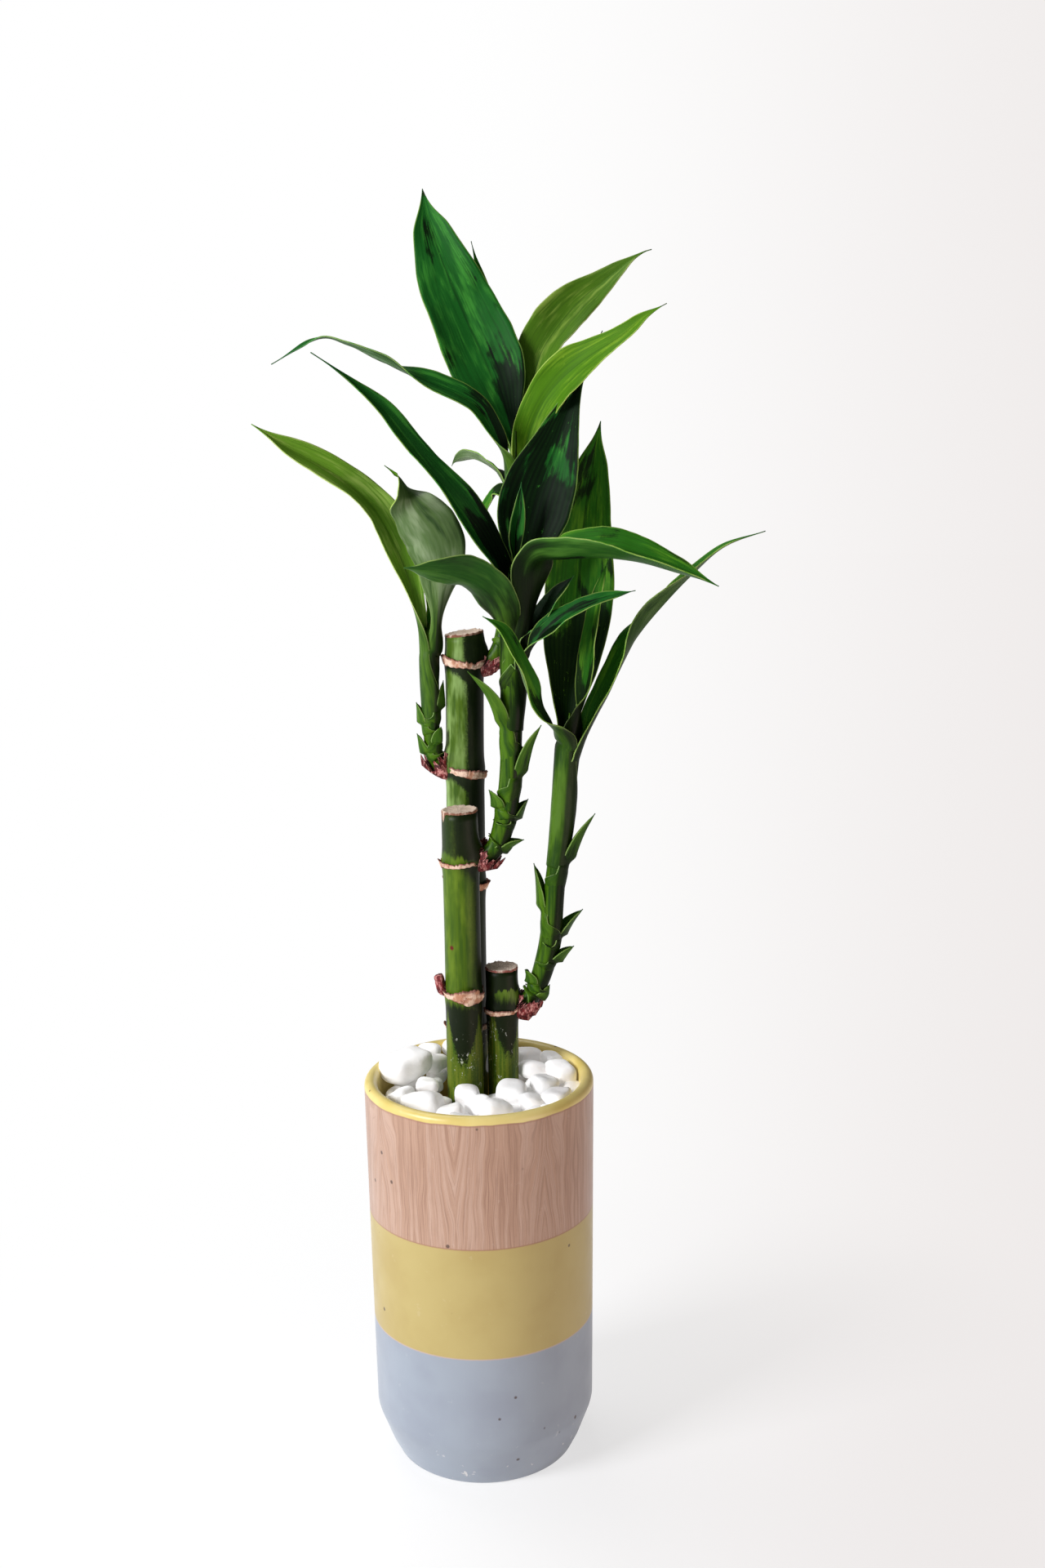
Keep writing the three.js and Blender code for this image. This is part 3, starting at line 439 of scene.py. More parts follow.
def addSky(look):
    world = bpy.data.worlds.new("studio")
    bpy.context.scene.world = world
    world.use_nodes = True
    g = Graph(world.node_tree)
    g.tree.nodes.clear()
    heading = g.node("ShaderNodeTexCoord", {}, {}, "Generated").parts()[0]
    tint = g.mix(g.ease(heading, *look["turn"]), rgb(look["seen"]), rgb(look["seenRight"]))
    seen = g.node("ShaderNodeBackground", {}, {"Color": tint, "Strength": 1})
    lit = g.node("ShaderNodeBackground", {}, {"Color": rgb("#ffffff"), "Strength": look["light"]})
    direct = g.node("ShaderNodeLightPath", {}, {}, "Is Camera Ray")
    both = g.node("ShaderNodeMixShader", {}, {0: direct, 1: lit, 2: seen})
    leave = g.tree.nodes.new("ShaderNodeOutputWorld")
    g.tree.links.new(both.socket, leave.inputs[0])


def addFloor(look):
    f = Finish("floorPaper", Roughness=0.9, Specular_IOR_Level=0.1)
    across, deep, _ = f.place().parts()
    far = (across * across + deep * deep).does("SQRT")
    ahead = deep + look["behind"]
    heading = across / (across * across + ahead * ahead).does("SQRT")
    f.colour = f.blend(f.ease(heading, *look["turn"]), look["seen"], look["seenRight"])
    f.feed()
    glow = f.node("ShaderNodeEmission", {}, {"Color": f.colour, "Strength": 1})
    direct = f.node("ShaderNodeLightPath", {}, {}, "Is Camera Ray")
    share = f.ease(far, *look["shadowReach"], look["shadow"], 1) * lerp(look["bounce"], 1, direct)
    both = f.node("ShaderNodeMixShader", {}, {0: share, 1: Wire(f, f.shader.outputs[0]), 2: glow})
    f.tree.links.new(both.socket, f.tree.nodes["Material Output"].inputs[0])
    shape = Shape()
    shape.skin([turnedRow(reach, 0, 48) for reach in look["rings"]], caps=(False, True))
    floor = newObject("floor", shape.mesh("floor", [f.material]))


addCamera(camera)
for lightName, lightLook in lights.items():
    addLight(lightName, lightLook)
addSky(sky)
addFloor(sky)
bpy.context.scene.view_settings.view_transform = "Standard"
print("camera, light and floor made")


# Vase

vase = {
    "height": 146,
    "rim": 42,
    "shoulder": 40.72,
    "foot": 33.8,
    "footEdge": 1.8,
    "wall": 4.7,
    "floor": 6,
    "corner": 8,
    "narrowing": 1.3 / 127,  # of the inside, for each mm down
    "slope": ((35.3, 3.9), (40.15, 16.9)),  # radius and height of the foot's slope, at both its ends
    "bend": ((40.5, 18.3), (40.68, 19.2)),  # of it into the wall
    "wallFrom": 20.2,
    "wallTo": 143.2,
    "woodFrom": 96.6,
    "yellowFrom": 54.2,
    "lipFrom": (143.9, 144.3),
    "lineFrom": (143.2, 143.8),  # of the darker line under the lip's glaze
    "insideFrom": (23, 24),  # heights and radii where the glaze inside starts
    "insideTo": (38.9, 39.2),
    "worn": (3, 24),  # heights over which the chips become few
    "unrolled": 41.5,  # radius that the bands' patterns are laid at
    "rings": 30,  # of the wall's mesh
    "sides": 144,
}


def arc(r, z, radius, start, end, steps):
    turns = [math.radians(lerp(start, end, i / steps)) for i in range(steps + 1)]
    return [(r + radius * math.cos(t), z + radius * math.sin(t)) for t in turns]


def slope(low, high, steps):
    return [(lerp(low[0], high[0], i / steps), lerp(low[1], high[1], i / steps)) for i in range(1, steps + 1)]


# From the middle of the foot up the outside, over the lip and down the inside
def vaseProfile(look):
    lip = look["wall"] / 2
    edge = look["footEdge"]
    inner = look["rim"] - look["wall"]
    deep = inner - look["narrowing"] * (look["height"] - 20)
    return [
        (0.01, 0.6),
        (look["foot"] - 5, 0.6),
        (look["foot"] - 4, 0),
        *arc(look["foot"] - edge, edge, edge, -90, -22, 6),
        *slope(*look["slope"], 6),
        *look["bend"],
        *slope((look["shoulder"], look["wallFrom"]), (look["rim"], look["wallTo"]), look["rings"]),
        *arc(look["rim"] - lip, look["height"] - lip, lip, 0, 180, 14),
        (inner - 0.3, 120),
        (deep, 30),
        *arc(deep - look["corner"], look["floor"] + look["corner"], look["corner"], 0, -90, 6),
        (0.01, look["floor"]),
    ]


def vaseMesh(look, material):
    shape = Shape()
    shape.skin([turnedRow(radius, height, look["sides"]) for radius, height in vaseProfile(look)])
    return shape.mesh("vase", [material])


vaseColours = {
    "lip": "#ccb45c",
    "lipPale": "#dfcc84",
    "wood": "#b08c76",
    "woodPale": "#ba9a87",
    "woodDark": "#7f5b48",
    "yellow": "#b5a266",
    "yellowDark": "#a89154",
    "blue": "#969ea9",
    "blueDark": "#8a909d",
    "line": "#9a6c56",
    "seam": "#b9a09a",
    "speck": "#4a342c",
    "chip": "#ece6de",
}
# Grain of the wood band, in mm along the wall: a cathedral at the front, then arches and cathedrals by turns
figure = {"middle": -73.3, "spacing": 32.6, "reach": 12, "steep": 0.13, "wander": 7}
jointBlur = 0.12  # half the width over which one band turns into the next


def woodColour(f, around, height, colours):
    turn = (around - figure["middle"]) / figure["spacing"]
    off = ((turn + 0.5).does("FRACT") - 0.5).does("ABSOLUTE") * figure["spacing"]
    wander = (f.flow(around * 0.06, height * 0.03) - 0.5) * figure["wander"]
    rise = (turn * math.pi).does("COSINE") * figure["steep"] * (height - 100)
    contour = off - rise * (1 - f.ease(off, 2, figure["reach"])) + wander
    broad = f.flow(contour * 0.8, height * 0.012, 0, 3, 0.6)
    fine = f.flow(contour * 2.6, height * 0.03, 0, 4, 0.75)
    pores = f.flow(around * 5, height * 0.25, 0, 2, 0.7)
    f.colour = f.blend(f.ease(broad, 0.36, 0.6), colours["woodPale"], colours["wood"])
    for mask, share in ((f.ease(fine, 0.46, 0.66), 0.5), (f.ease(broad, 0.58, 0.66), 0.35),
                        (f.ease(pores, 0.6, 0.7), 0.3)):
        f.paint(mask * share, colours["woodDark"])
    return f.colour, fine


def vaseFinish(look, colours):
    f = Finish("vaseGlaze", Specular_IOR_Level=0.45)
    place = f.place()
    x, y, z = place.parts()
    height = z * inMm
    around = y.does("ARCTAN2", x) * look["unrolled"]
    drift = f.grain(place, 45, 3)
    wood, fine = woodColour(f, around, height, colours)
    cloud = f.ease(drift, 0.35, 0.75) * 0.6
    yellow = f.blend(cloud, colours["yellow"], colours["yellowDark"])
    blue = f.blend(cloud, colours["blue"], colours["blueDark"])
    level = height + (f.grain(f.join(around, height), 0.9) - 0.5) * 0.25
    f.colour = f.blend(f.step(level, look["yellowFrom"], jointBlur), blue, yellow)
    isWood = f.step(level, look["woodFrom"], jointBlur)
    f.paint(isWood, wood)
    for joint, tone in ((look["yellowFrom"], "seam"), (look["woodFrom"], "line")):
        near = 1 - f.ease((level - joint).does("ABSOLUTE"), jointBlur, 0.4)
        f.paint(near * 0.7, colours[tone])

    # glaze of the lip runs a little way over the edge
    spill = f.grain(f.join(x * inMm, y * inMm), 0.07, 3) * 1.6
    outer = (x * x + y * y).does("SQRT") * inMm
    inside = (1 - f.ease(outer, *look["insideTo"])) * f.ease(height, *look["insideFrom"])
    isLip = f.ease(height + spill, *look["lipFrom"]).does("MAXIMUM", inside)
    f.paint(f.ease(height + spill, *look["lineFrom"]) * 0.6, colours["line"])
    f.paint(isLip, f.blend(f.ease(drift, 0.3, 0.7), colours["lip"], colours["lipPale"]))

    # dark specks all over, and chips, most of them near the foot
    few = f.ease(f.grain(place, 23, 1), 0.46, 0.54)
    specks = (1 - f.ease(f.cells(place, 95), 0.05, 0.085)) * few
    f.paint(specks * 0.85, colours["speck"])
    worn = f.ease(f.grain(place, 240, 3, 0.7), 0.66, 0.72) * (1 - f.ease(height, *look["worn"]) * 0.9)
    f.paint(worn * 0.6, colours["chip"])
    bumps = f.grain(place, 180) + fine * isWood * 0.35 - specks - worn * 0.5
    rough = lerp(0.24, 0.42, f.grain(place, 90, 3))
    return f.feed(Roughness=rough, Normal=f.bump(bumps, 0.00006))


addPiece("vaseBody", vaseMesh(vase, vaseFinish(vase, vaseColours)), "vase_glaze", "vase")
print("vase made")


# Pebbles

bed = {"level": 139.3, "slope": 0.1}
stones = {
    "heightShare": 0.72,  # of a stone's width
    "seed": 29,
    "reach": 35,  # of the middles of the loose stones
    "lumps": 0.0019,
    "pits": 0.00014,
    "squareness": 3.2,
    "layers": (("loose", 60, 400, 1.2), ("sunk", 110, 900, -3.4)),  # most stones and tries, and lift
    "apart": 0.43,  # of two stones' lengths
    "offCane": 0.3,  # of a stone's length
    "length": (8.5, 12.5),
    "slimness": (0.72, 0.98),
    "tilt": 0.3,
}
# The stones that are seen best: x, y, lift above the bed, length, width and turn
placedStones = [
    (-27.5, 11.5, 5, 19, 14, 40),
    (-28.5, -8, 2, 11, 9, 60),
    (-20, -14, 2.2, 15, 12, -20),
    (-17.5, 19, 2, 11, 9, 60),
    (-20, 28, 1.6, 9, 8, 0),
    (-10, 32.5, 1.4, 9, 7, 10),
    (-10, -18, 1.2, 10, 8, 0),
    (-5, -28, 2, 13, 10, -8),
    (6.5, -20, 2.4, 12, 10, 12),
    (11.5, -5, 2, 11, 11, 0),
    (18, -25, 1.8, 13, 9, 25),
    (20, 12, 2, 11, 9, 10),
    (30, 10, 2.2, 13, 10, -65),
    (19.5, -13, 1.4, 9, 8, 100),
    (24, 1, 2, 10, 9, 30),
    (28.5, -10, 2, 13, 10, 60),
    (18, 24, 1.8, 11, 9, 30),
    (27, 21.5, 1.6, 9, 8, 120),
    (9, 31, 1.4, 11, 8, 0),
    (-19, 2, 1.4, 9, 8, 0),
    (-17, -27, 1.4, 10, 8, 35),
    (6, -31, 1.2, 10, 8, 10),
]

# Each cane: where its dark tongue's middle, its sunny side and the crown above which its painted shade
# deepens are, how much of it is in painted shade and under wax, its foot and axis, and its rings with the
# shoot or stub that each carries
canes = {
    "tall": {
        "peak": -100, "wax": 0.85, "sunny": 2.5, "shade": 0.5, "soft": 0.13, "crown": 297, "crownShade": 0.1,
        "foot": (-6, 20.5), "lean": 0.011, "radius": 7.3, "topRadius": 6.8, "top": 306.4, "slant": 0.12,
        "rings": [
            {"name": "lowest", "z": 158, "rise": 0.08, "height": 2.6},
            {"name": "lower", "z": 213, "rise": -0.06, "height": 2.6},
            {"name": "upper", "z": 255.8, "rise": -0.2, "height": 2.6, "shoot": "left", "bud": 190,
             "flap": (290, 0.8)},
            {"name": "top", "z": 295.6, "rise": -0.14, "height": 2.6, "shoot": "top", "bud": 0,
             "flap": (215, 1.4)},
        ],
    },
    "medium": {
        "peak": -32, "wax": 0, "sunny": 2.4, "shade": 0.02, "soft": 0.4, "crown": 228, "crownShade": 1.1,
        "foot": (-5.2, 5.5), "lean": 0, "radius": 6.7, "topRadius": 6.5, "top": 244.6, "slant": 0.03,
        "drip": (205, 3.2),
        "rings": [
            {"name": "lower", "z": 175.5, "rise": -0.1, "height": 2.4, "stub": (-14.2, 3.6, 183),
             "flap": (290, 4)},
            {"name": "upper", "z": 225.2, "rise": 0.05, "height": 1.8, "shoot": "middle", "bud": 0,
             "flap": (200, 0.6)},
        ],
    },
    "short": {
        "peak": -128, "wax": 0.1, "sunny": 1.2, "shade": 0.7, "soft": 0.12, "crown": 177, "crownShade": 1,
        "foot": (8.9, 10.5), "lean": 0, "radius": 5.4, "topRadius": 6, "top": 184, "slant": 0,
        "rings": [{"name": "only", "z": 167.6, "rise": 0.06, "height": 1.8, "shoot": "right", "bud": 0,
                   "flap": (240, 0.6)}],
    },
}


def bedLevel(y):
    return bed["level"] + bed["slope"] * y


def pebbleTool():
    g, size = newTool("heap of pebbles", {
        "Lump Height": 0.001, "Pit Depth": 0.0001, "Lump Scale": 85.0, "Squareness": 2.6, "Seed": 1.0,
        "Finish": None})
    ball = g.node("GeometryNodeMeshIcoSphere", {}, {"Radius": 1, "Subdivisions": 4})
    at = g.node("GeometryNodeInputPosition", {}, {})
    spread = 0
    for part in at.parts():
        spread = part.does("ABSOLUTE") ** size["Squareness"] + spread
    ball = g.node("GeometryNodeSetPosition", {}, {
        "Geometry": ball, "Position": at * spread ** (-1 / size["Squareness"])})
    facing = g.node("FunctionNodeEulerToRotation", {}, {0: namedVector(g, "turn")})
    placed = g.node("GeometryNodeInstanceOnPoints", {}, {
        "Points": size["Geometry"], "Instance": ball, "Rotation": facing, "Scale": namedVector(g, "half")})
    real = g.node("GeometryNodeRealizeInstances", {}, {0: placed})
    place = g.node("GeometryNodeInputPosition", {}, {})
    out = g.node("GeometryNodeInputNormal", {}, {})
    lumps = g.grain(place + g.join(size["Seed"], 0, 0), size["Lump Scale"], 1) - 0.5
    pits = g.grain(place, size["Lump Scale"] * 5) - 0.5
    offset = out * (lumps * size["Lump Height"] * 2 + pits * size["Pit Depth"] * 2)
    moved = g.node("GeometryNodeSetPosition", {}, {"Geometry": real, "Offset": offset})
    return closeTool(g, moved, size["Finish"])


def caneCentre(cane, z):
    return Vector((cane["foot"][0] + cane["lean"] * (z - vase["floor"]), cane["foot"][1], z))


def stonePoints():
    chance = random.Random(stones["seed"])
    found = [(Vector(stone[:2]), *stone[2:]) for stone in placedStones]
    feet = [(Vector(cane["foot"]), cane["radius"]) for cane in canes.values()]
    for layer, count, tries, lift in stones["layers"]:
        mine = list(found) if layer == "loose" else []
        most = len(mine) + count
        for _ in range(tries):
            reach = stones["reach"] * math.sqrt(chance.random())
            at = (ray(tau * chance.random()) * reach).xy
            length = chance.uniform(*stones["length"])
            width = length * chance.uniform(*stones["slimness"])
            turn = 180 * chance.random()
            isApart = all((at - other[0]).length > stones["apart"] * (other[2] + length) for other in mine)
            isOff = all((at - foot).length > radius + stones["offCane"] * length for foot, radius in feet)
            if isApart and isOff and len(mine) < most:
                mine.append((at, lift, length, width, turn))
                found.append(mine[-1])
    return found


def stoneMesh(found):
    chance = random.Random(stones["seed"] + 1)
    tilt = stones["tilt"]
    mesh = bpy.data.meshes.new("stonePoints")
    mesh.from_pydata([Vector((*at, bedLevel(at.y) + lift)) * mm for at, lift, *_ in found], [], [])
    half = mesh.attributes.new("half", "FLOAT_VECTOR", "POINT")
    turned = mesh.attributes.new("turn", "FLOAT_VECTOR", "POINT")
    for i, (_, _, length, width, turn) in enumerate(found):
        half.data[i].vector = Vector((length, width, width * stones["heightShare"])) * mm / 2
        turned.data[i].vector = (chance.uniform(-tilt, tilt), chance.uniform(-tilt, tilt), math.radians(turn))
    return mesh


def pebbleFinish():
    # the marble glows faintly in its own colour: painted light that brightens its shaded sides
    f = Finish("pebbleMarble", Specular_IOR_Level=0.3, Emission_Strength=0.07)
    place = f.place()
    cloud = f.grain(place, 55, 4, 0.6)
    vein = 1 - f.ease((f.grain(place, 38, 3) - 0.5).does("ABSOLUTE"), 0, 0.03)
    odd = f.ease(f.grain(place, 16, 0), 0.7, 0.74)
    pits = f.grain(place, 900, 3, 0.7)
    f.colour = f.blend(f.ease(cloud, 0.4, 0.8), "#fffefd", "#f6f1ed")
    f.paint(vein * 0.12, "#d6cbc4")
    f.paint(odd * 0.4, "#cdc4c0")
    f.paint(f.ease(pits, 0.6, 0.75) * 0.12, "#ddd4cd")
    rough = lerp(0.45, 0.65, cloud)
    return f.feed(Emission_Color=f.colour, Roughness=rough, Normal=f.bump(pits + cloud, 0.00015))


pebbleStone = pebbleFinish()
pebbleValues = {
    "Lump Height": stones["lumps"],
    "Pit Depth": stones["pits"],
    "Squareness": stones["squareness"],
    "Finish": pebbleStone,
}
pebbles = runTool("pebbleHeap", stoneMesh(stonePoints()), pebbleTool(), pebbleValues, [pebbleStone])
settle(pebbles, "pebble", "pebbles")
print("pebbles made:", len(pebbles.data.polygons), "faces")


# Canes

swelling = {"size": 0.45, "reach": 3.5}  # of a cane at each ring
budSwelling = {"size": 1.8, "reach": 4, "above": 3.5}  # of the cane under a shoot, above its ring
caneSides = 56
caneStep = 2  # from one row of its mesh to the next
caneEnd = 0.75  # of its own mesh under its top, inside the cut end
ringShade = 7  # mm under a ring that the ring's painted shade darkens


def caneRadius(cane, z):
    share = (z - vase["floor"]) / (cane["top"] - vase["floor"])
    swollen = sum(swelling["size"] * hill(z - ring["z"], swelling["reach"]) for ring in cane["rings"])
    return lerp(cane["radius"], cane["topRadius"], share ** 3) + swollen


def caneRow(cane, z, seed, grow=0, slant=0, rough=0):
    centre = caneCentre(cane, z)
    row = []
    for j in range(caneSides):
        angle = tau * j / caneSides
        out = ray(angle)
        uneven = noise.noise(Vector((out.x * 1.5 + seed, out.y * 1.5, z * 0.03))) * 0.22
        fray = noise.noise(Vector((out.x * 9 + seed, out.y * 9, z * 0.4))) * rough
        for ring in cane["rings"]:
            if "bud" in ring:
                above = hill(z - ring["z"] - budSwelling["above"], budSwelling["reach"])
                turned = angle - math.radians(ring["bud"])
                uneven += budSwelling["size"] * above * max(0, math.cos(turned)) ** 3
        point = centre + out * (caneRadius(cane, z) + grow + uneven)
        point.z = z + slant * (point.x - centre.x) + fray
        row.append(point)
    return row


caneColours = {
    "body": "#47620e",
    "lit": "#6a8222",
    "wax": "#86a362",
    "dark": "#0a1305",
    "deep": "#34500e",
    "foot": "#65701f",
    "scale": "#e4e6dc",
    "spot": "#5c1a14",
}
# Heights of the dark belt above the stones, whose lower border hangs down in tongues
belt = {"low": 150, "high": 173, "tongue": 19}
crustTo = (152, 168)  # heights over which the pale scale ends


# Skin: green and cloudy, with painted shade near black away from the sun, at the crown and under the rings,
# with jagged borders
def caneFinish(name, cane, colours):
    f = Finish(name, Specular_IOR_Level=0.14)
    place = f.place()
    x, y, z = place.parts()
    high = z * inMm
    east = x * inMm - cane["foot"][0] - (high - vase["floor"]) * cane["lean"]
    turned = (y * inMm - cane["foot"][1]).does("ARCTAN2", east)
    around = f.join(turned.does("COSINE"), turned.does("SINE"))
    up = high * 0.05
    lines = f.grain(around * 6 + f.join(0, 0, high * 0.04 + cane["radius"]), 1, 4, 0.6)
    cloud = f.grain(around * 1.2 + f.join(0, 0, up + cane["radius"]), 1, 3, 0.6)
    jag = f.grain(around * 3 + f.join(0, 0, up), 1, 4, 0.7) - 0.5
    dots = f.grain(place, 1500, 2, 0.7) - 0.5
    f.colour = f.blend(f.ease(lines + (cloud - 0.5) * 0.5, 0.3, 0.62), colours["deep"], colours["body"])
    f.paint(f.ease(cloud, 0.45, 0.7) * 0.6, colours["lit"])
    f.paint(f.ease(cloud + lines * 0.2, 0.5, 0.8) * cane["wax"], colours["wax"])
    # painted shade: the side away from the sun, the crown and the cane just under each ring turn near black
    sunny = (turned + cane["sunny"]).does("COSINE") + jag * 0.5 + dots * 0.25
    limit = cane["shade"] + f.step(high + jag * 8, cane["crown"], 2) * cane["crownShade"]
    for ring in cane["rings"]:
        below = (ring["z"] - high) / ringShade
        shade = (0.8 - below.does("ABSOLUTE") * 0.8).does("MAXIMUM", 0)
        limit = shade * below.does("GREATER_THAN", 0) + limit
    dark = 1 - f.ease(sunny - limit, -cane["soft"], cane["soft"])
    peaks = 1 - ((turned - math.radians(cane["peak"])) * 1.5).does("SINE").does("ABSOLUTE")
    top = high - peaks * belt["tongue"] + jag * 12 + dots * 10
    low = (1 - f.step(high + jag * 12, belt["high"], 2)) * f.step(top, belt["low"], 2)
    f.paint(dark.does("MAXIMUM", low) * 0.96, colours["dark"])
    foot = 1 - f.ease(top, belt["low"] - 4, belt["low"] + 2)
    f.paint(foot * 0.8, f.blend(f.ease(lines + dots * 0.3, 0.36, 0.62), colours["deep"], colours["foot"]))
    bits = f.grain(place * Vector((1, 1, 0.6)), 900, 3, 0.7)
    crust = f.ease(bits, 0.58, 0.64) * f.ease(f.grain(place, 120, 3, 0.6), 0.5, 0.6)
    crust = crust * (1 - f.ease(high, *crustTo))
    f.paint(crust * 0.8, colours["scale"])
    spots = 1 - f.ease(f.cells(place, 60), 0.03, 0.07)
    f.paint(spots * f.ease(f.grain(place, 30, 0), 0.5, 0.6), colours["spot"])
    rough = lerp(0.34, 0.5, lines)
    return f.feed(Roughness=rough, Normal=f.bump(lines * 0.5 + crust * 0.8, 0.00012))


def caneMesh(name, cane, material, seed):
    shape = Shape()
    end = cane["top"] - caneEnd
    rows = [caneRow(cane, z, seed) for z in range(vase["floor"] + 1, int(end) - 1, caneStep)]
    rows.append(caneRow(cane, end, seed, slant=cane["slant"]))
    shape.skin(rows)
    return shape.mesh(name, [material])


# Cut ends: a dry disc with a thin raised brown rim and a dished pale middle

cutEndHeight = 1.3
# Height above its foot, growth past the cane's radius and roughness of each loop, up the rim and inwards
cutEndLoops = [
    (0.2, -0.2, 0.1),
    (0.5, 0.1, 0.3),
    (1, 0.05, 0.4),
    (1.28, -0.25, 0.5),
    (cutEndHeight, -0.7, 0.45),
    (1, -1.2, 0.3),
    (0.85, -2.2, 0.3),
    (0.8, -3.4, 0.3),
    (0.85, -4.6, 0.25),
]
dripWidth = 0.16  # in radians, to each side
cutEndTones = {"short": ("#a08c80", "#8a4a40")}  # pale and brown
usualTones = ("#d8bda8", "#7a4a34")


def cutEndFinish(name, pale, brown, cane):
    f = Finish(name, Roughness=0.8)
    x, y, z = f.place().parts()
    axis = cane["foot"]
    across = x * inMm - axis[0] - cane["lean"] * (cane["top"] - vase["floor"])
    far = (across ** 2 + (y * inMm - axis[1]) ** 2).does("SQRT")
    fibre = f.grain(f.join(x * inMm, y * inMm, z * 300), 2.4, 4, 0.7)
    mark = f.grain(f.join(x * inMm, y * inMm), 0.5, 3)
    edge = f.ease(far + (mark - 0.5) * 1.6, cane["topRadius"] - 0.5, cane["topRadius"] + 0.1)
    f.colour = f.blend(f.ease(fibre, 0.35, 0.65), pale, "#e8d3c0")
    f.paint(f.ease(mark, 0.55, 0.7) * 0.4, "#b08a70")
    f.paint(edge, brown)
    return f.feed(Normal=f.bump(fibre, 0.0003))


def cutEndMesh(name, cane, material, seed):
    shape = Shape()
    bottom = cane["top"] - cutEndHeight
    rows = [caneRow(cane, bottom + height, seed, grow, cane["slant"], rough)
            for height, grow, rough in cutEndLoops]
    if "drip" in cane:
        middle, length = cane["drip"]
        for row in rows[:2]:
            for j, point in enumerate(row):
                off = math.remainder(tau * j / caneSides - math.radians(middle), tau)
                point.z -= length * hill(off, dripWidth)
    shape.skin(rows)
    return shape.mesh(name, [material])


# Rings: torn dry scars round the canes, the collar of each shoot and the dried stub

ringColours = {
    "paper": "#b98468",
    "pale": "#e6c8b2",
    "brown": "#6a2a1c",
    "collar": "#7c1a1e",
    "collarPale": "#d2908a",
    "collarDeep": "#3a080b",
}
ringSides = 144


# Pale face, and brown where its paper ends
def ringFinish(name, colours):
    f = Finish(name, Roughness=0.85)
    place = f.place()
    cloud = f.grain(place, 240, 4, 0.65)
    fibre = f.grain(place * Vector((1, 1, 0.25)), 1100, 3, 0.7)
    lip = f.attribute("lip") + (cloud - 0.5) * 0.35
    f.colour = f.blend(f.ease(cloud, 0.42, 0.58), colours["paper"], colours["pale"])
    f.paint(f.ease(fibre, 0.52, 0.68) * 0.5, colours["brown"])
    f.paint((1 - f.ease(lip, 0.1, 0.2)).does("MAXIMUM", f.ease(lip, 0.42, 0.5)) * 0.85, colours["brown"])
    return f.feed(Normal=f.bump(fibre + cloud, 0.0004))


def collarFinish(name, colours):
    f = Finish(name, Roughness=0.8)
    place = f.place()
    cloud = f.grain(place, 300, 4, 0.7)
    shred = f.grain(place * Vector((1, 1, 0.3)), 800, 3, 0.7)
    f.colour = f.blend(f.ease(cloud, 0.36, 0.6), colours["collarDeep"], colours["collar"])
    f.paint(f.ease(shred + (cloud - 0.5) * 0.5, 0.5, 0.6) * 0.85, colours["collarPale"])
    return f.feed(Normal=f.bump(shred + cloud, 0.0006))


def ringRows(cane, ring, seed):
    inner = caneRadius(cane, ring["z"])
    middle, size = ring.get("flap", (0, 0))
    rows = []
    for i in range(ringSides):
        angle = tau * i / ringSides
        out = ray(angle)
        slow = noise.noise(Vector((out.x * 1.6 + seed * 7, out.y * 1.6, 0)))
        mid = noise.noise(Vector((out.x * 4.5 + seed * 3, out.y * 4.5, 5)))
        sharp = abs(noise.noise(Vector((out.x * 15 + seed, out.y * 15, 9))))
        flap = size * hill(math.remainder(angle - math.radians(middle), tau), 0.7)
        flare = 1.1 + 1.2 * slow + 0.8 * mid - 0.7 * sharp + 0.25 * flap
        lip = max(flare, 0.4)
        foot = -ring["height"] / 2 - 0.35 * flap + 0.5 * mid
        top = ring["height"] / 2 + 0.9 * slow + 0.8 * mid - 1.2 * sharp + 0.65 * flap
        section = [
            (-0.3, foot - 0.1),
            (0.25, foot + 0.05),
            (0.5 + 0.3 * mid, lerp(foot, top, 0.25)),
            (0.6 * flare, lerp(foot, top, 0.6)),
            (lip, top),
            (lip - 0.25, top + 0.15),
            (0.4 * flare, lerp(foot, top, 0.65)),
            (0.15, lerp(foot, top, 0.5)),
            (-0.3, lerp(foot, top, 0.45)),
        ]
        centre = caneCentre(cane, ring["z"] + ring["rise"] * inner * out.x)
        rows.append([centre + out * (inner + r) + Vector((0, 0, z)) for r, z in section])
    return rows


pathSteps = 90  # of a stem's axis
cuff = {"foot": 2, "length": 8, "least": 3, "sides": 72, "steps": 5, "wall": 0.3}
stub = {"foot": 2.7, "tip": 1.5, "rag": 0.3, "rise": 1.5, "steps": 18, "sides": 32}


# The torn cuff round the foot of a shoot: one section along the stem and back for each angle
def cuffRows(stem, seed):
    path = stem["path"]
    frames = rodRows(path[:30], lambda share, angle: 1, cuff["sides"])
    rows = []
    for j in range(cuff["sides"]):
        out = ray(tau * j / cuff["sides"])
        slow = noise.noise(out * 1.7 + Vector((seed, 0, 3)))
        sharp = abs(noise.noise(out * 7 + Vector((seed, 5, 0))))
        length = max(cuff["length"] + 5 * slow - 7 * sharp, cuff["least"])
        flare = 1.2 + 2 * slow + 2 * sharp
        outer = []
        inner = []
        for k in range(cuff["steps"] + 1):
            share = k / cuff["steps"]
            at = (cuff["foot"] + length * share) / stem["length"] * pathSteps
            i = int(at)
            centre = path[i].lerp(path[i + 1], at - i)
            away = (frames[i][j] - path[i]).lerp(frames[i + 1][j] - path[i + 1], at - i)
            reach = 0.9 * stem["radius"] + 0.3 + flare * share ** 1.5
            outer.append(centre + away * reach)
            inner.append(centre + away * (reach - cuff["wall"]))
        rows.append(outer + inner[::-1])
    return rows


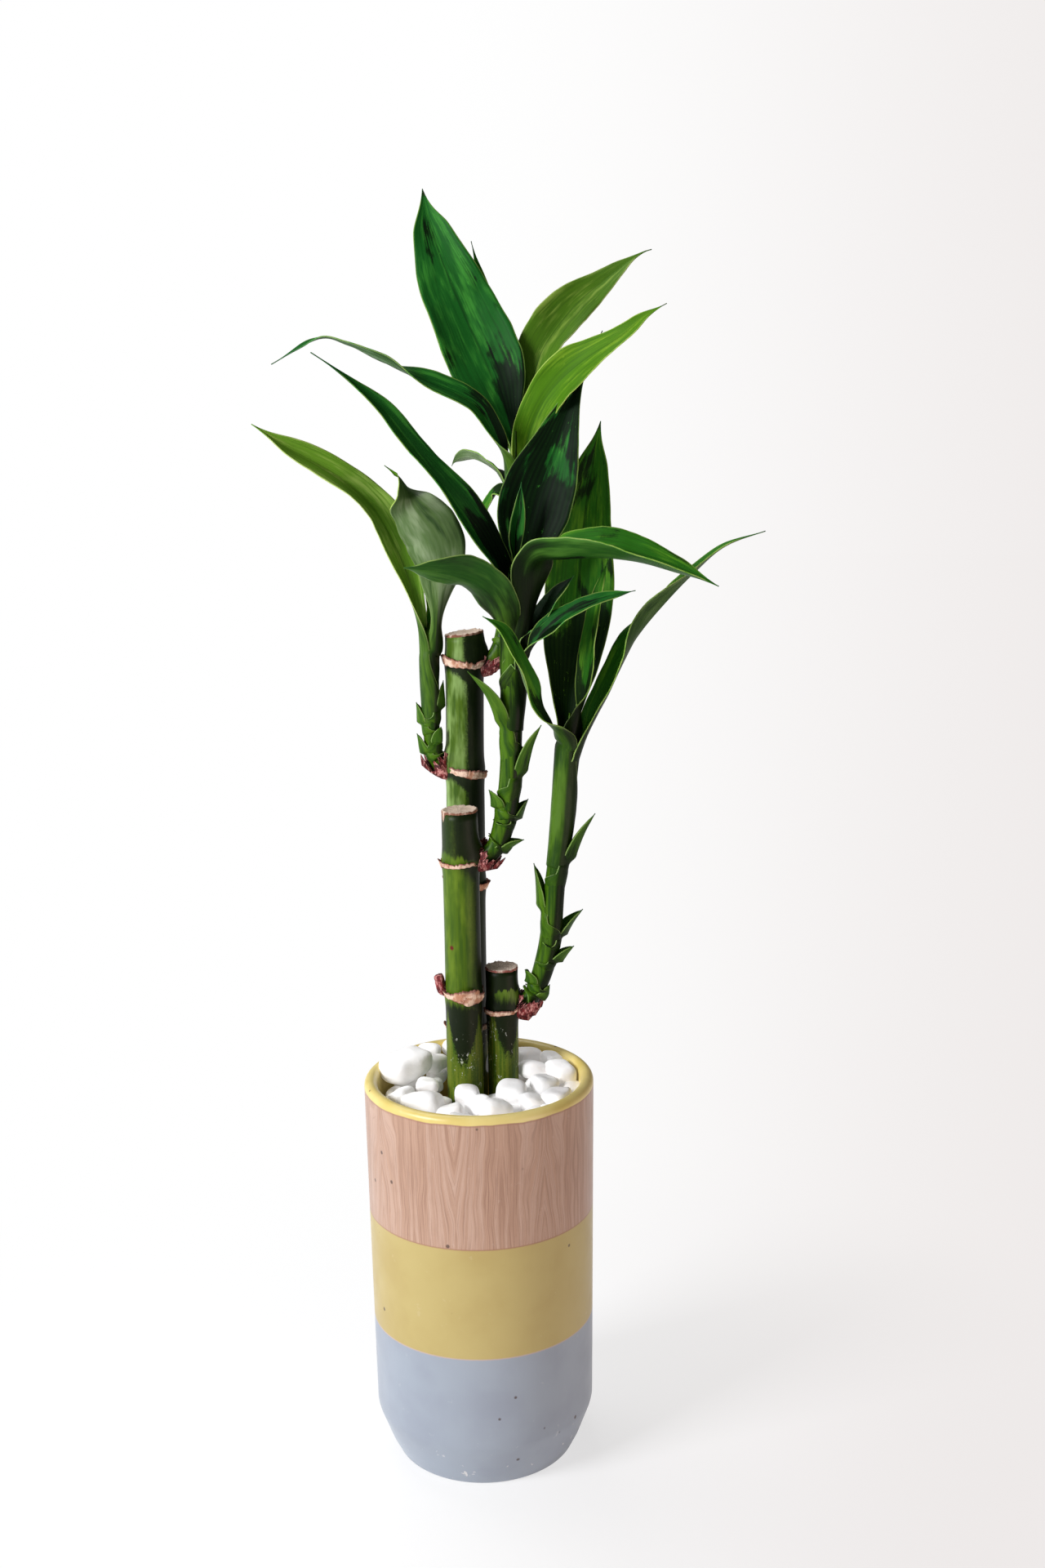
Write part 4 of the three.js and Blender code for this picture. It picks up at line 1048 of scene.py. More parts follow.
# The dried stub of a shoot: a ragged rod that bulges out of its ring
def stubRows(cane, ring, seed):
    def radiusAt(share, angle):
        rag = noise.noise(ray(angle) * 4 + Vector((0, 0, share * 7 + seed)))
        return lerp(stub["foot"], stub["tip"], share) * (1 + stub["rag"] * rag)

    root = caneCentre(cane, ring["z"])
    tip = Vector(ring["stub"])
    bulge = root.lerp(tip, 0.75)
    bulge.z = ring["z"] + stub["rise"]
    path, _ = smoothPath([root, bulge, tip], stub["steps"])
    return rodRows(path, radiusAt, stub["sides"])


# Each stem: how far the painted shade reaches round it, its radius, the share at which it ends inside the
# leaves, its axis, and its scale leaves with the height where each starts and its tip
stems = {
    "left": {
        "dusk": 0,
        "radius": 3.1,
        "tip": 1,
        "axis": [(-7, 19.5, 255), (-11, 18.5, 256.5), (-14, 18, 262), (-15, 18, 270), (-15, 18, 284),
                 (-15, 18, 299), (-14, 18.5, 312)],
        "bracts": [(259, (-20.3, 17, 270.2)), (263, (-11.5, 14.5, 273)), (269, (-20.3, 18, 281.5)),
                   (273, (-10.4, 18, 289.3))],
    },
    "top": {
        "dusk": 0.1,
        "radius": 3.6,
        "tip": 0.82,
        "axis": [(0, 20.3, 292.5), (5, 20, 294.5), (10, 20, 299.5), (13, 21.5, 309), (15, 22, 328),
                 (16, 23, 348), (17, 23, 364), (17, 23, 377)],
        "bracts": [(300, (16, 16, 311)), (306, (10.4, 26, 324)), (318, (20.2, 20, 334))],
    },
    "middle": {
        "dusk": 0.2,
        "radius": 3.9,
        "tip": 1,
        "axis": [(-2, 5.6, 224), (3, 5.8, 226), (8, 6, 231), (11, 6, 240), (13, 6, 253), (14, 6, 271),
                 (15, 6, 289), (15, 6, 306), (16, 6, 331)],
        "bracts": [(230, (17.9, 6, 232.8)), (236, (19.6, 8, 247.4)), (241, (5.6, 3, 252)),
                   (246, (24.5, 2, 275.3)), (262, (-0.9, -3, 295.6))],
    },
    "right": {
        "dusk": 0.34,
        "radius": 3.8,
        "tip": 1,
        "axis": [(11, 10.4, 167), (16, 10.2, 168.5), (20.5, 10, 173.5), (24, 10, 182), (27, 10, 195),
                 (29, 10, 216), (32, 10, 240), (33.5, 10, 259), (35, 10.5, 278)],
        "bracts": [(172, (26.5, 9, 177)), (176, (17.5, 7, 183.5)), (182, (35.6, 9, 191.7)),
                   (189, (39.1, 13, 204.5)), (195, (21.3, 12, 222.4)), (213, (43.6, 8, 241.6))],
    },
}

for stem in stems.values():
    stem["path"], stem["length"] = smoothPath(stem["axis"], pathSteps)


def ringMesh(name, cane, ring, materials, seed):
    shape = Shape()
    rows = ringRows(cane, ring, seed)
    shape.skin(rows, 0, isHoop=True)
    if "shoot" in ring:
        shape.skin(cuffRows(stems[ring["shoot"]], seed), 1, isHoop=True)
    if "stub" in ring:
        shape.skin(stubRows(cane, ring, seed), 1)
    mesh = shape.mesh(name, materials)
    lip = mesh.attributes.new("lip", "FLOAT", "POINT")
    around = len(rows[0])
    lip.data.foreach_set("value", [i % around / (around - 1) for i in range(len(mesh.vertices))])
    return mesh


ringPaper = ringFinish("ringPaper", ringColours)
collarPaper = collarFinish("collarPaper", ringColours)
for caneIndex, (caneName, cane) in enumerate(canes.items()):
    title = caneName.title()
    seed = caneIndex * 5
    greenBark = caneFinish("caneSkin" + title, cane, caneColours)
    addPiece("cane" + title, caneMesh("cane", cane, greenBark, seed), "cane", "cane_" + caneName)
    cutWood = cutEndFinish("cutWood" + title, *cutEndTones.get(caneName, usualTones), cane)
    addPiece("cutEnd" + title, cutEndMesh("cutEnd", cane, cutWood, seed), "cut_end", "cut_end_" + caneName)
    for ringIndex, ring in enumerate(cane["rings"]):
        pieceName = "ring" + title + ring["name"].title()
        ringShape = ringMesh(pieceName, cane, ring, [ringPaper, collarPaper], seed + ringIndex)
        addPiece(pieceName, ringShape, "ring", "ring_" + caneName + "_" + ring["name"])
print("canes, cut ends and rings made")


# Leaves

# What a leaf has where its own entry says nothing else
blade = {
    "grip": 2.9,  # radians that the sheath's foot goes round each side of the stem
    "wrap": 1.2,  # and at its throat
    "sheath": 15,
    "gap": 0.45,  # of the sheath to the stem
    "tuck": 0.65,  # by which its foot sinks
    "neck": 0.8,  # how much of its outline the blade keeps at the throat
    "petiole": 3.4,
    "peak": 0.44,  # where it is widest
    "taper": 1.25,
    "crease": 0.3,
    "late": 0,  # share of the blade before its crease begins
    "curl": 0.25,
    "wave": 0.6,
    "ripple": 1.5,  # mm of height for a wave of 1
    "waves": 1.5,
    "uneven": 1,
    "dark": 0.3,  # share of the blade in patches of painted shade
    "night": 0,  # more painted shade near the throat
    "dusk": 0,  # how much further than on its stem the painted shade reaches
    "thickness": 0.36,
    "rows": 110,
    "strips": 17,
}
midribSteps = 140


# The tool's inputs that are a leaf's own numbers, unchanged
plainInputs = ["Peak", "Taper", "Neck", "Grip", "Wrap", "Crease", "Late", "Uneven", "Curl", "Waves", "Dark",
               "Night"]


# A blade on a midrib: the tool lays a grid along the path and bends its section
def leafTool():
    g, size = newTool("leaf blade", {
        "Half Width": 0.01, "Petiole": 0.00375, "Stand Off": 0.004, "Tuck": 0.0006, "Wave": 0.0006,
        "Length": 0.1, "Tip": 0.0001, "Sheath": 0.05, "Seed": 0.0, "Dusk": 0.0,
        **{label: float(blade[label.lower()]) for label in plainInputs},
        "Rows": blade["rows"], "Strips": blade["strips"], "Finish": None})
    spine = g.node("GeometryNodeMeshToCurve", {}, {0: size["Geometry"]})
    sheet = g.node("GeometryNodeMeshGrid", {}, {
        "Size X": 1, "Size Y": 2, "Vertices X": size["Rows"], "Vertices Y": size["Strips"]})
    gridX, gridY, _ = g.node("GeometryNodeInputPosition", {}, {}).parts()
    along = gridX + 0.5
    side = -gridY
    sample = g.node("GeometryNodeSampleCurve", {"mode": "FACTOR", "data_type": "FLOAT_VECTOR"}, {
        "Curves": spine, "Value": namedVector(g, "face"), "Factor": along})
    tangent = sample.other("Tangent")
    across = tangent.does("CROSS_PRODUCT", sample.other("Value")).does("NORMALIZE")
    normal = across.does("CROSS_PRODUCT", tangent)

    # half the width: a sheath, then a petiole that opens into the lance
    share = ((along - size["Sheath"]) / (1 - size["Sheath"])).does("MAXIMUM", 0)
    peak = size["Peak"]
    rise = size["Taper"] * peak / (1 - peak)
    outline = (share / peak) ** rise * ((1 - share) / (1 - peak)) ** size["Taper"]
    neck = g.ease(share, 0, 0.4, size["Neck"], 1)
    edge = side.does("SIGN")
    uneven = 1 + (g.flow(along * 4.5, edge * 2, size["Seed"]) - 0.5) * size["Uneven"] * 0.34
    lance = size["Half Width"] * outline * neck * uneven * (1 - g.ease(share, 0.86, 1) * 0.6)
    stalk = size["Petiole"] * (1 - share) ** 4
    opened = (lance * lance + stalk * stalk).does("SQRT")
    held = (along / size["Sheath"]).does("MINIMUM", 1)
    grip = lerp(size["Grip"], size["Wrap"], g.ease(held, 0.1, 1))
    hug = size["Stand Off"] - size["Tuck"] * (1 - g.ease(held, 0, 0.5))
    half = lerp(grip * hug, opened, g.ease(share, 0, 0.12)).does("MAXIMUM", size["Tip"])

    # the section: two arcs that meet in the crease, waves and flutter
    curl = lerp(grip, size["Curl"], g.ease(share, 0, 0.3))
    crease = size["Crease"] * g.ease(share - size["Late"], 0.02, 0.2) * (1 - share * 0.5)
    out = side.does("ABSOLUTE")
    bend = crease + curl * out
    reach = edge * half * (bend.does("SINE") - crease.does("SINE")) / curl
    lift = half * (crease.does("COSINE") - bend.does("COSINE")) / curl
    edgeLift = half * (crease.does("COSINE") - (crease + curl).does("COSINE")) / curl
    sink = edgeLift * 0.5 * g.ease(share, 0.05, 0.25)
    phase = share * size["Waves"] * tau + side.does("GREATER_THAN", 0) * 2.1
    fade = (share * math.pi).does("SINE")
    ripple = size["Wave"] * phase.does("SINE") * side * side * fade
    flutter = (g.flow(along * 9, side * 0.7, size["Seed"]) - 0.5) * out * fade * half * size["Uneven"] * 0.35
    placed = sample.other("Position") + across * reach + normal * (lift + ripple + flutter - sink)

    # what the finishes read
    outwards = across * (bend.does("SINE") * edge) - normal * bend.does("COSINE")
    stored = sheet
    for name, value in (
            ("side", side),
            ("along", share),
            ("edge", half * (1 - out) * inMm),
            ("run", along * size["Length"] * inMm),
            ("wide", half * inMm),
            ("dark", size["Dark"] + size["Night"] * (1 - g.ease(share, 0.22, 0.5))),
            ("dusk", outwards.does("DOT_PRODUCT", shadeWay) + size["Dusk"]),
            ("seed", size["Seed"])):
        stored = g.node("GeometryNodeStoreNamedAttribute", {"data_type": "FLOAT", "domain": "POINT"}, {
            "Geometry": stored, "Name": name, "Value": value})
    moved = g.node("GeometryNodeSetPosition", {}, {"Geometry": stored, "Position": placed})
    return closeTool(g, moved, size["Finish"])


def midribMesh(path, faces):
    mesh = bpy.data.meshes.new("midrib")
    mesh.from_pydata([p * mm for p in path], [(i, i + 1) for i in range(len(path) - 1)], [])
    facing = mesh.attributes.new("face", "FLOAT_VECTOR", "POINT")
    for i, face in enumerate(faces):
        facing.data[i].vector = face
    return mesh


def axisPoint(stem, z):
    path = stem["path"]
    low, high = next((a, b) for a, b in zip(path, path[1:]) if a.z <= z <= b.z)
    return low.lerp(high, (z - low.z) / (high.z - low.z))


def faceAt(faces, share):
    before = faces[0]
    for after in faces[1:]:
        if share <= after[0]:
            mix = smoothstep(share, before[0], after[0])
            return Vector(before[1:]).normalized().lerp(Vector(after[1:]).normalized(), mix)
        before = after
    return Vector(before[1:])


sheathLooks = {"body": "#44680c", "shade": "#22420a", "dusk": "#081103"}
midLook = {"body": "#276512", "shade": "#061805", "light": "#629a22", "rim": "#8ca84c", "gloss": 0.38}
leafLooks = {
    "dark": {"body": "#15551a", "shade": "#020903", "light": "#3f8e30", "rim": "#7d9c48", "gloss": 0.36},
    "mid": midLook,
    "pale": {"body": "#46740c", "shade": "#163a06", "light": "#7a9e28", "rim": "#a4bc58", "gloss": 0.4},
    "soft": {"body": "#446a14", "shade": "#1a3a08", "light": "#87a044", "rim": "#a8b870", "gloss": 0.42},
    "arch": midLook,
    "lime": {"body": "#689828", "shade": "#2a500c", "light": "#acc664", "rim": "#b8cc7c", "gloss": 0.4},
    "bract": {"body": "#2c5610", "shade": "#0a1c05", "light": "#5a8224", "rim": "#6c863a", "gloss": 0.42},
}
paleUnder = {"body": "#50693a", "shade": "#2a431f", "light": "#8a9a76"}
underLooks = {
    "dark": {"body": "#2c4c20", "shade": "#13280f", "light": "#62805a"},
    "mid": {"body": "#4a6632", "shade": "#233c1a", "light": "#7d9068"},
    "arch": {"body": "#1f4d12", "shade": "#08160a", "light": "#447228"},
    "bract": {"body": "#33580f", "shade": "#142e08", "light": "#587c22"},
}
leafEdge = {"tip": "#1c150b", "under": "#8fa864"}


# A finish that reads what the tool stored on the blade, with the ribs that both its sides show
class BladeFinish(Finish):
    def __init__(self, name, gloss, ribs, stretch):
        Finish.__init__(self, name, Specular_IOR_Level=gloss)
        for label in ("side", "along", "edge", "run", "wide", "seed", "dark"):
            setattr(self, label, self.attribute(label))
        self.broad = self.ease(self.wide, 1.2, 4.5)
        self.lines = (self.streaks(self.side * ribs, stretch, 0.65) - 0.5) * self.broad
        self.fine = ((self.side * 42).does("SINE") * 0.5 + 0.5) * self.broad

    # noise drawn out along the blade
    def streaks(self, across, stretch, roughness, layer=None):
        return self.flow(across, self.run * stretch, layer or self.seed, 3, roughness)

    def finish(self, dull, bright):
        rough = lerp(dull, bright, self.lines + 0.5)
        return self.feed(Roughness=rough, Normal=self.bump(self.fine * 0.2 + self.lines, 0.00005))


def upperFinish(name, look):
    f = BladeFinish(name, 0.08, 15, 0.03)
    side = f.side
    lines = f.lines
    patch = f.streaks(side * 1.7, 0.05, 0.6)
    glow = f.streaks(side * 2.2 + 7, 0.04, 0.65)
    f.colour = f.blend(f.ease(glow + lines * 0.3, 0.48, 0.7) * 0.6, look["body"], look["light"])
    f.paint((1 - f.ease(lines, -0.16, 0.05)) * 0.3 * f.broad, look["shade"])

    # painted shade: dark patches, and a dark throat that reaches further up one side
    dots = f.flow(side * f.wide * 5, f.run * 5, f.seed, 2, 0.8) - 0.5
    throat = (1 - f.ease(f.along, 0.1, 0.52)) * lerp(0.08, 0.65, f.ease(side, -0.2, 0.5))
    throat = throat * f.ease(f.dark, 0.05, 0.3)
    level = f.dark * 0.75 + throat - patch - lines * 0.25 + dots * 0.2
    f.paint(f.ease(level, -0.16, -0.06) * 0.95, look["shade"])

    f.paint(f.fine * 0.025, look["light"])
    groove = 1 - f.ease(side.does("ABSOLUTE"), 0.01, 0.05)
    f.paint(groove * 0.4 * f.broad, look["shade"])
    flecks = f.ease(f.streaks(side * 7, 0.3, 0.7), 0.64, 0.7) * f.ease(glow, 0.48, 0.56)
    f.paint(flecks * f.broad * 0.5, look["light"])
    rim = (1 - f.ease(f.edge, 0.08, 0.36)) * f.ease(f.wide, 0.8, 2.2) * (1 - f.dark * 0.6)
    f.paint(rim * 0.8, look["rim"])
    f.paint(f.ease(f.along + lines * 0.02, 0.965, 0.985) * 0.85, leafEdge["tip"])
    return f.finish(look["gloss"] + 0.1, look["gloss"] + 0.3)


def underFinish(name, look):
    f = BladeFinish(name, 0.1, 16, 0.02)
    lines = f.lines
    dusk = f.attribute("dusk")
    streak = f.streaks(f.side * 2, 0.04, 0.6, f.seed + 3)
    f.colour = f.blend(f.ease(streak, 0.42, 0.66) * 0.8, look["body"], look["light"])
    f.paint(f.ease(streak + lines * 0.2, 0.42, 0.28), look["shade"])
    f.paint(f.ease(lines, 0, 0.2) * 0.18, look["shade"])
    f.paint(f.fine * 0.07, look["light"])
    # painted shade on the side that faces away from the sun
    f.paint(f.ease(dusk + lines * 0.4, 0.3, 0.75) * 0.75, sheathLooks["shade"])

    # the sheath and the petiole are greener, and have painted shade nearly black on the side away from the
    # sun
    grown = 1 - f.ease(f.along + (streak - 0.5) * 0.14, 0.06, 0.52)
    stalk = f.blend(f.ease(streak + lines * 0.3, 0.36, 0.6), sheathLooks["shade"], sheathLooks["body"])
    dim = f.ease(dusk + (streak - 0.5) * 0.5 + lines * 0.3, -0.12, 0.2)
    f.paint(grown * 0.9, f.blend(dim * 0.92, stalk, sheathLooks["dusk"]))
    # painted shade near the throat of the leaves with more dark
    night = (1 - f.ease(f.along + (streak - 0.5) * 0.3, 0.25, 0.55)) * f.ease(f.dark, 0.28, 0.36)
    night = night * f.ease(streak + lines * 0.3 - f.dark * 0.5, 0.5, 0.24)
    f.paint(night * 0.85, sheathLooks["dusk"])
    rim = (1 - f.ease(f.edge, 0.1, 0.4)) * f.ease(f.wide, 0.8, 2.2)
    f.paint(rim * 0.6, leafEdge["under"])
    return f.finish(0.34, 0.52)


def rimFinish(name, look):
    f = Finish(name, Roughness=0.5, Specular_IOR_Level=0.3)
    pale = f.blend(f.ease(f.grain(f.place(), 300), 0.4, 0.7), look["rim"], look["light"])
    f.colour = f.blend(f.ease(f.attribute("wide"), 0.6, 2), look["body"], pale)
    return f.feed()


leafFinishes = {}
for tone, look in leafLooks.items():
    leafFinishes[tone] = [
        upperFinish(tone + "LeafUpper", look),
        underFinish(tone + "LeafUnder", underLooks.get(tone, paleUnder)),
        rimFinish(tone + "LeafRim", look),
    ]

# Each leaf: the side of the stem that it leaves, in degrees from +X, its width, the slot that its tone
# belongs to, the line along its middle and, at shares of the blade, the way that its upper side looks
leaves = {
    "top": [
        {"from": 225, "width": 9.5, "wave": 0.5, "waves": 2.2, "peak": 0.3, "taper": 1.1, "petiole": 3.6,
         "gap": 0.2, "sheath": 16, "dark": 0.22, "look": "dark", "tone": "mid",
         "spine": [(14.3, 18.8, 360), (12.8, 18.5, 368), (9, 17.6, 378), (4.5, 16.5, 385.5),
                   (-1, 15.5, 389.5), (-9, 14.5, 393), (-20.5, 13.5, 398), (-31.5, 13.5, 403.5),
                   (-40.5, 14, 407.5), (-50.5, 15.5, 409.5), (-67.5, 18, 401)],
         "face": [(0.2, 0.3, -0.8, 0.5), (0.42, 0.1, -0.7, 0.7), (0.62, 0, 0.2, 1), (0.8, 0, 0.25, 1),
                  (0.9, -0.1, -0.6, 0.8)]},
        {"from": 60, "width": 15.5, "crease": 0.2, "wave": 0.9, "waves": 2.5, "peak": 0.42, "taper": 1.2,
         "neck": 1.1, "petiole": 3.2, "gap": -0.6, "sheath": 12, "wrap": 1, "dark": 0.1, "tone": "pale",
         "spine": [(18.9, 24.3, 360), (19.8, 24.4, 368), (22, 24.2, 377), (25.5, 22.6, 385),
                   (30, 19.8, 391.5), (36, 16, 397.5), (43.5, 12.2, 403), (54, 8.5, 409), (61.5, 7.3, 415),
                   (69, 7, 419)],
         "face": [(0.2, -0.2, -0.95, 0.1), (0.35, -0.2, -0.95, 0.2), (0.65, -0.25, -0.85, 0.5),
                  (1, 0, -0.6, 0.8)]},
        {"from": 95, "width": 28, "crease": 0.12, "curl": 0.35, "wave": 1.2, "waves": 2.3, "peak": 0.45,
         "taper": 0.85, "neck": 0, "petiole": 2.4, "gap": -0.2, "wrap": 1.3, "tone": "dark",
         "spine": [(17.1, 26.3, 360), (17, 25.8, 368), (15.2, 26.3, 378), (11, 28.8, 391), (6.5, 31.8, 402),
                   (0.5, 35.5, 415.5), (-6, 40, 431), (-10.5, 43.8, 443), (-13.5, 47, 453), (-15, 50, 462)],
         "face": [(0.15, 0.1, -1, 0.15), (1, 0.05, -1, 0.2)]},
        {"from": 60, "width": 18.5, "wave": 1.3, "waves": 2, "peak": 0.52, "gap": 0.1, "dark": 0.12,
         "look": "soft", "tone": "pale",
         "spine": [(20, 26.3, 356), (20.4, 27.5, 368), (21, 28.5, 380), (22.3, 29.8, 392), (26, 32, 404),
                   (31.5, 35.2, 412.5), (39.5, 39.5, 421.5), (48, 43, 428.5), (57, 47, 435), (64, 49.5, 439),
                   (67, 50, 440)],
         "face": [(0.2, -0.3, -0.9, 0.3), (0.6, -0.3, -0.9, 0.5), (1, 0, -0.7, 0.8)]},
        {"from": 125, "width": 10.5, "peak": 0.4, "taper": 1, "gap": -0.1, "dark": 0.4, "tone": "mid",
         "spine": [(14.4, 26.3, 352), (13.2, 28.8, 358.5), (10.3, 33, 363.5), (4.5, 41, 366.8),
                   (-1, 49, 367.8), (-5.5, 55, 366), (-7, 57, 364)],
         "face": [(0.25, 0.3, 0.1, 1), (0.5, 0, 0.7, 0.7)]},
        {"from": 150, "width": 8.5, "wave": 0.4, "gap": -0.1, "dark": 0.4, "tone": "mid",
         "spine": [(13, 25.2, 349), (12, 26.6, 354.5), (9.8, 29, 356), (6.5, 32.5, 351), (3.5, 35.5, 345.5),
                   (0.5, 38, 340)],
         "face": [(0.4, -0.5, -0.4, 0.7)]},
        {"from": 90, "width": 11, "crease": 0.5, "wave": 0.4, "gap": 0.3, "neck": 0, "petiole": 2,
         "tone": "mid",
         "spine": [(17, 27.3, 352), (17, 28.8, 364), (15, 31.5, 378), (10, 39, 405), (6, 46.5, 427),
                   (2, 53, 444)],
         "face": [(0.3, 0, -1, 0.1)]},
    ],
    "middle": [
        {"from": 240, "width": 19, "crease": 0.35, "waves": 2, "peak": 0.46, "neck": 1, "taper": 1,
         "petiole": 4.4, "sheath": 30, "gap": 0.7, "wrap": 1.35, "dark": 0.34, "look": "arch", "tone": "mid",
         "spine": [(12.8, 2, 303), (12.3, 0.5, 310), (10.5, -3, 317.5), (7.5, -7, 323.5), (2, -12, 328.5),
                   (-6, -18, 331.5), (-20.5, -27, 334)],
         "face": [(0.15, 0.4, 0.85, 0.2), (0.4, 0.3, 0.78, 0.5), (1, 0.15, 0.82, 0.55)]},
        {"from": 305, "width": 21, "crease": 1, "late": 0.26, "wave": 0.5, "waves": 2, "peak": 0.54,
         "taper": 1, "neck": 0.9, "petiole": 4.6, "gap": 0.4, "wrap": 1.3, "dark": 0.34, "night": 0.3,
         "look": "arch", "tone": "mid",
         "spine": [(18.2, 2.2, 303), (19.2, 1, 309), (19.9, -0.4, 316), (20.4, -2.2, 323),
                   (21.2, -4.4, 329.3), (22.9, -6.8, 334), (26, -9.3, 337), (30.5, -11.4, 338.5),
                   (36.5, -13.5, 339.2), (43, -15.2, 339.2), (49.5, -16.5, 338.6), (56.3, -17.8, 337.2),
                   (63.3, -19.2, 335), (74.5, -21.5, 330.5), (84, -24, 326)],
         "face": [(0.12, -0.4, 0.9, 0), (0.24, -0.35, 0.85, 0.4), (0.36, -0.3, 0.35, 0.95),
                  (0.46, 0, -0.2, 1), (0.8, 0.2, -0.45, 1)]},
        {"from": 330, "width": 10, "crease": 0.5, "gap": 0.9, "dark": 0.45, "tone": "dark",
         "spine": [(20, 1.8, 299), (23.5, -1.8, 307), (31, -4.5, 313.5), (39.5, -5.2, 318), (48, -5, 321),
                   (57.5, -4.5, 323)],
         "face": [(0.3, -0.5, -0.6, 0.6), (1, 0, -0.5, 0.8)]},
        {"from": 0, "width": 10, "crease": 0.4, "wave": 0.4, "gap": 0.6, "dark": 1, "tone": "dark",
         "spine": [(20, 5, 306), (24.5, 3, 313.5), (30.5, 1, 321.5), (36.5, 0, 328)],
         "face": [(0.3, -0.6, -0.6, 0.5)]},
        {"from": 150, "width": 15, "crease": 0.5, "wave": 0.7, "waves": 2.5, "peak": 0.32, "taper": 1.3,
         "neck": 0.9, "petiole": 4.6, "gap": 0.2, "wrap": 1.4, "dark": 0.34, "tone": "dark",
         "spine": [(12, 8.2, 312), (11.7, 7, 320), (10.8, 4.5, 328.5), (8.5, 1.8, 336), (4, -1, 344),
                   (-1.5, -3.5, 352), (-7, -5.5, 360), (-16, -8, 371.5), (-25.5, -11, 384), (-35.5, -13, 393),
                   (-43.5, -14, 399.5), (-50, -15, 404)],
         "face": [(0.2, 0.6, -0.65, 0.4), (1, 0.5, -0.6, 0.6)]},
        {"from": 80, "width": 27.5, "crease": 0.15, "curl": 0.4, "waves": 1.8, "peak": 0.36, "taper": 2.8,
         "neck": 0.5, "gap": 0, "dark": 0.66, "tone": "dark",
         "spine": [(16.4, 9.9, 314), (17.8, 9.6, 322), (19.5, 9.3, 332), (21.3, 9.5, 343), (24.7, 11, 355.5),
                   (29.8, 14, 369), (35, 18, 383), (41, 22.5, 397), (48, 27, 411)],
         "face": [(0.2, -0.1, -1, 0.1), (1, -0.2, -1, 0.3)]},
        {"from": 100, "width": 6.5, "crease": 0.7, "wave": 0.2, "waves": 1, "gap": -1.8, "dark": 0.45,
         "petiole": 2, "tone": "dark",
         "spine": [(16, 7.5, 330), (16.6, 5.5, 340), (17.8, 4.7, 350), (18.8, 5, 360)],
         "face": [(0.3, 0, -1, 0.1)]},
    ],
    "right": [
        {"from": 240, "width": 11, "wave": 0.8, "waves": 2, "peak": 0.5, "taper": 1, "neck": 1,
         "petiole": 4.8, "sheath": 46, "gap": 0.7, "tone": "mid",
         "spine": [(32.2, 4.8, 268), (28.5, 1, 275), (24.5, -3, 281), (21, -8, 289), (17, -13, 301.5),
                   (12, -16, 311.5), (5, -18, 316.5)],
         "face": [(0.3, 0.7, -0.4, 0.5), (1, 0.5, -0.6, 0.6)]},
        {"from": 0, "width": 14.5, "crease": 0.6, "waves": 2, "peak": 0.36, "petiole": 4.6, "gap": 0.5,
         "dark": 0.26, "tone": "mid",
         "spine": [(38.5, 9.5, 263), (41.5, 8.8, 272), (46.5, 8, 284.5), (51.5, 7.5, 295.5), (57.5, 7.5, 307),
                   (67.5, 9, 318), (78.5, 12, 328), (90, 14, 336.5), (105, 18, 341)],
         "face": [(0.15, -0.8, -0.5, 0.3), (0.35, -0.7, -0.4, 0.5), (0.55, -0.5, 0.3, 0.7),
                  (1, -0.2, -0.4, 0.9)]},
        {"from": 300, "width": 11, "crease": 0.5, "wave": 0.5, "gap": 0.3, "dark": 0.35, "night": 0.35,
         "tone": "mid",
         "spine": [(37, 7, 272), (39.5, 6, 285), (41.5, 4.5, 300), (43.5, 3.5, 312.5), (45.5, 3.5, 323),
                   (48.5, 4, 333)],
         "face": [(0.3, -0.8, -0.6, 0.1)]},
        {"from": 95, "width": 25.5, "crease": 0.2, "wave": 0.9, "waves": 2, "peak": 0.45, "taper": 0.9,
         "gap": 0.1, "petiole": 4.4, "dark": 0.4, "night": 0.45, "tone": "mid",
         "spine": [(34, 14.5, 268), (34.4, 15.3, 280), (36, 17, 294), (37.5, 18.5, 307), (38.5, 19.3, 321.5),
                   (40, 20, 336), (41.5, 20.8, 350.5), (44, 21.5, 364.5), (47, 22, 380)],
         "face": [(0.2, 0, -1, 0.1)]},
        {"from": 60, "width": 12, "crease": 0.5, "gap": -0.3, "tone": "mid",
         "spine": [(35.7, 14, 270), (36.5, 20, 294), (38.5, 28, 320), (40, 33, 340), (42, 35, 352)],
         "face": [(0.3, -0.2, -1, 0.1)]},
    ],
    "left": [
        {"from": 285, "width": 24, "crease": 0.1, "curl": 0.5, "wave": 1, "peak": 0.58, "taper": 2, "neck": 1,
         "petiole": 3.6, "gap": 0.3, "dusk": 0.25, "tone": "pale",
         "spine": [(-12.9, 15, 301), (-12.1, 14.4, 311), (-11.3, 13, 322.5), (-11, 10.5, 332),
                   (-12.5, 8, 340.5), (-16.5, 6, 347.5), (-20.5, 4.5, 353.5), (-22, 3, 358.5),
                   (-23.5, 2, 362.5), (-28, 1, 366.5)],
         "face": [(0.3, 0.1, 1, 0.2), (0.72, 0.2, 1, 0.3), (0.85, -0.8, 0.2, 0.4), (1, -0.6, -0.6, 0.5)]},
        {"from": 190, "width": 14.5, "crease": 0.55, "wave": 0.9, "waves": 2.2, "peak": 0.5, "taper": 0.9,
         "petiole": 4.2, "sheath": 26, "gap": 0.6, "wrap": 1.4, "dark": 0.12, "look": "lime", "tone": "pale",
         "spine": [(-18.5, 17.8, 300), (-18.8, 17.9, 309), (-19.7, 18, 318.5), (-22, 18, 328.5),
                   (-26.5, 16, 340.5), (-32, 13.5, 351), (-40, 11, 360), (-50, 8.5, 367), (-62, 5, 373.5),
                   (-73, 2, 381)],
         "face": [(0.2, 0.35, -0.85, 0.4), (1, 0.3, -0.75, 0.6)]},
        {"from": 90, "width": 8, "crease": 0.6, "wave": 0.2, "waves": 1, "gap": -0.5, "tone": "mid",
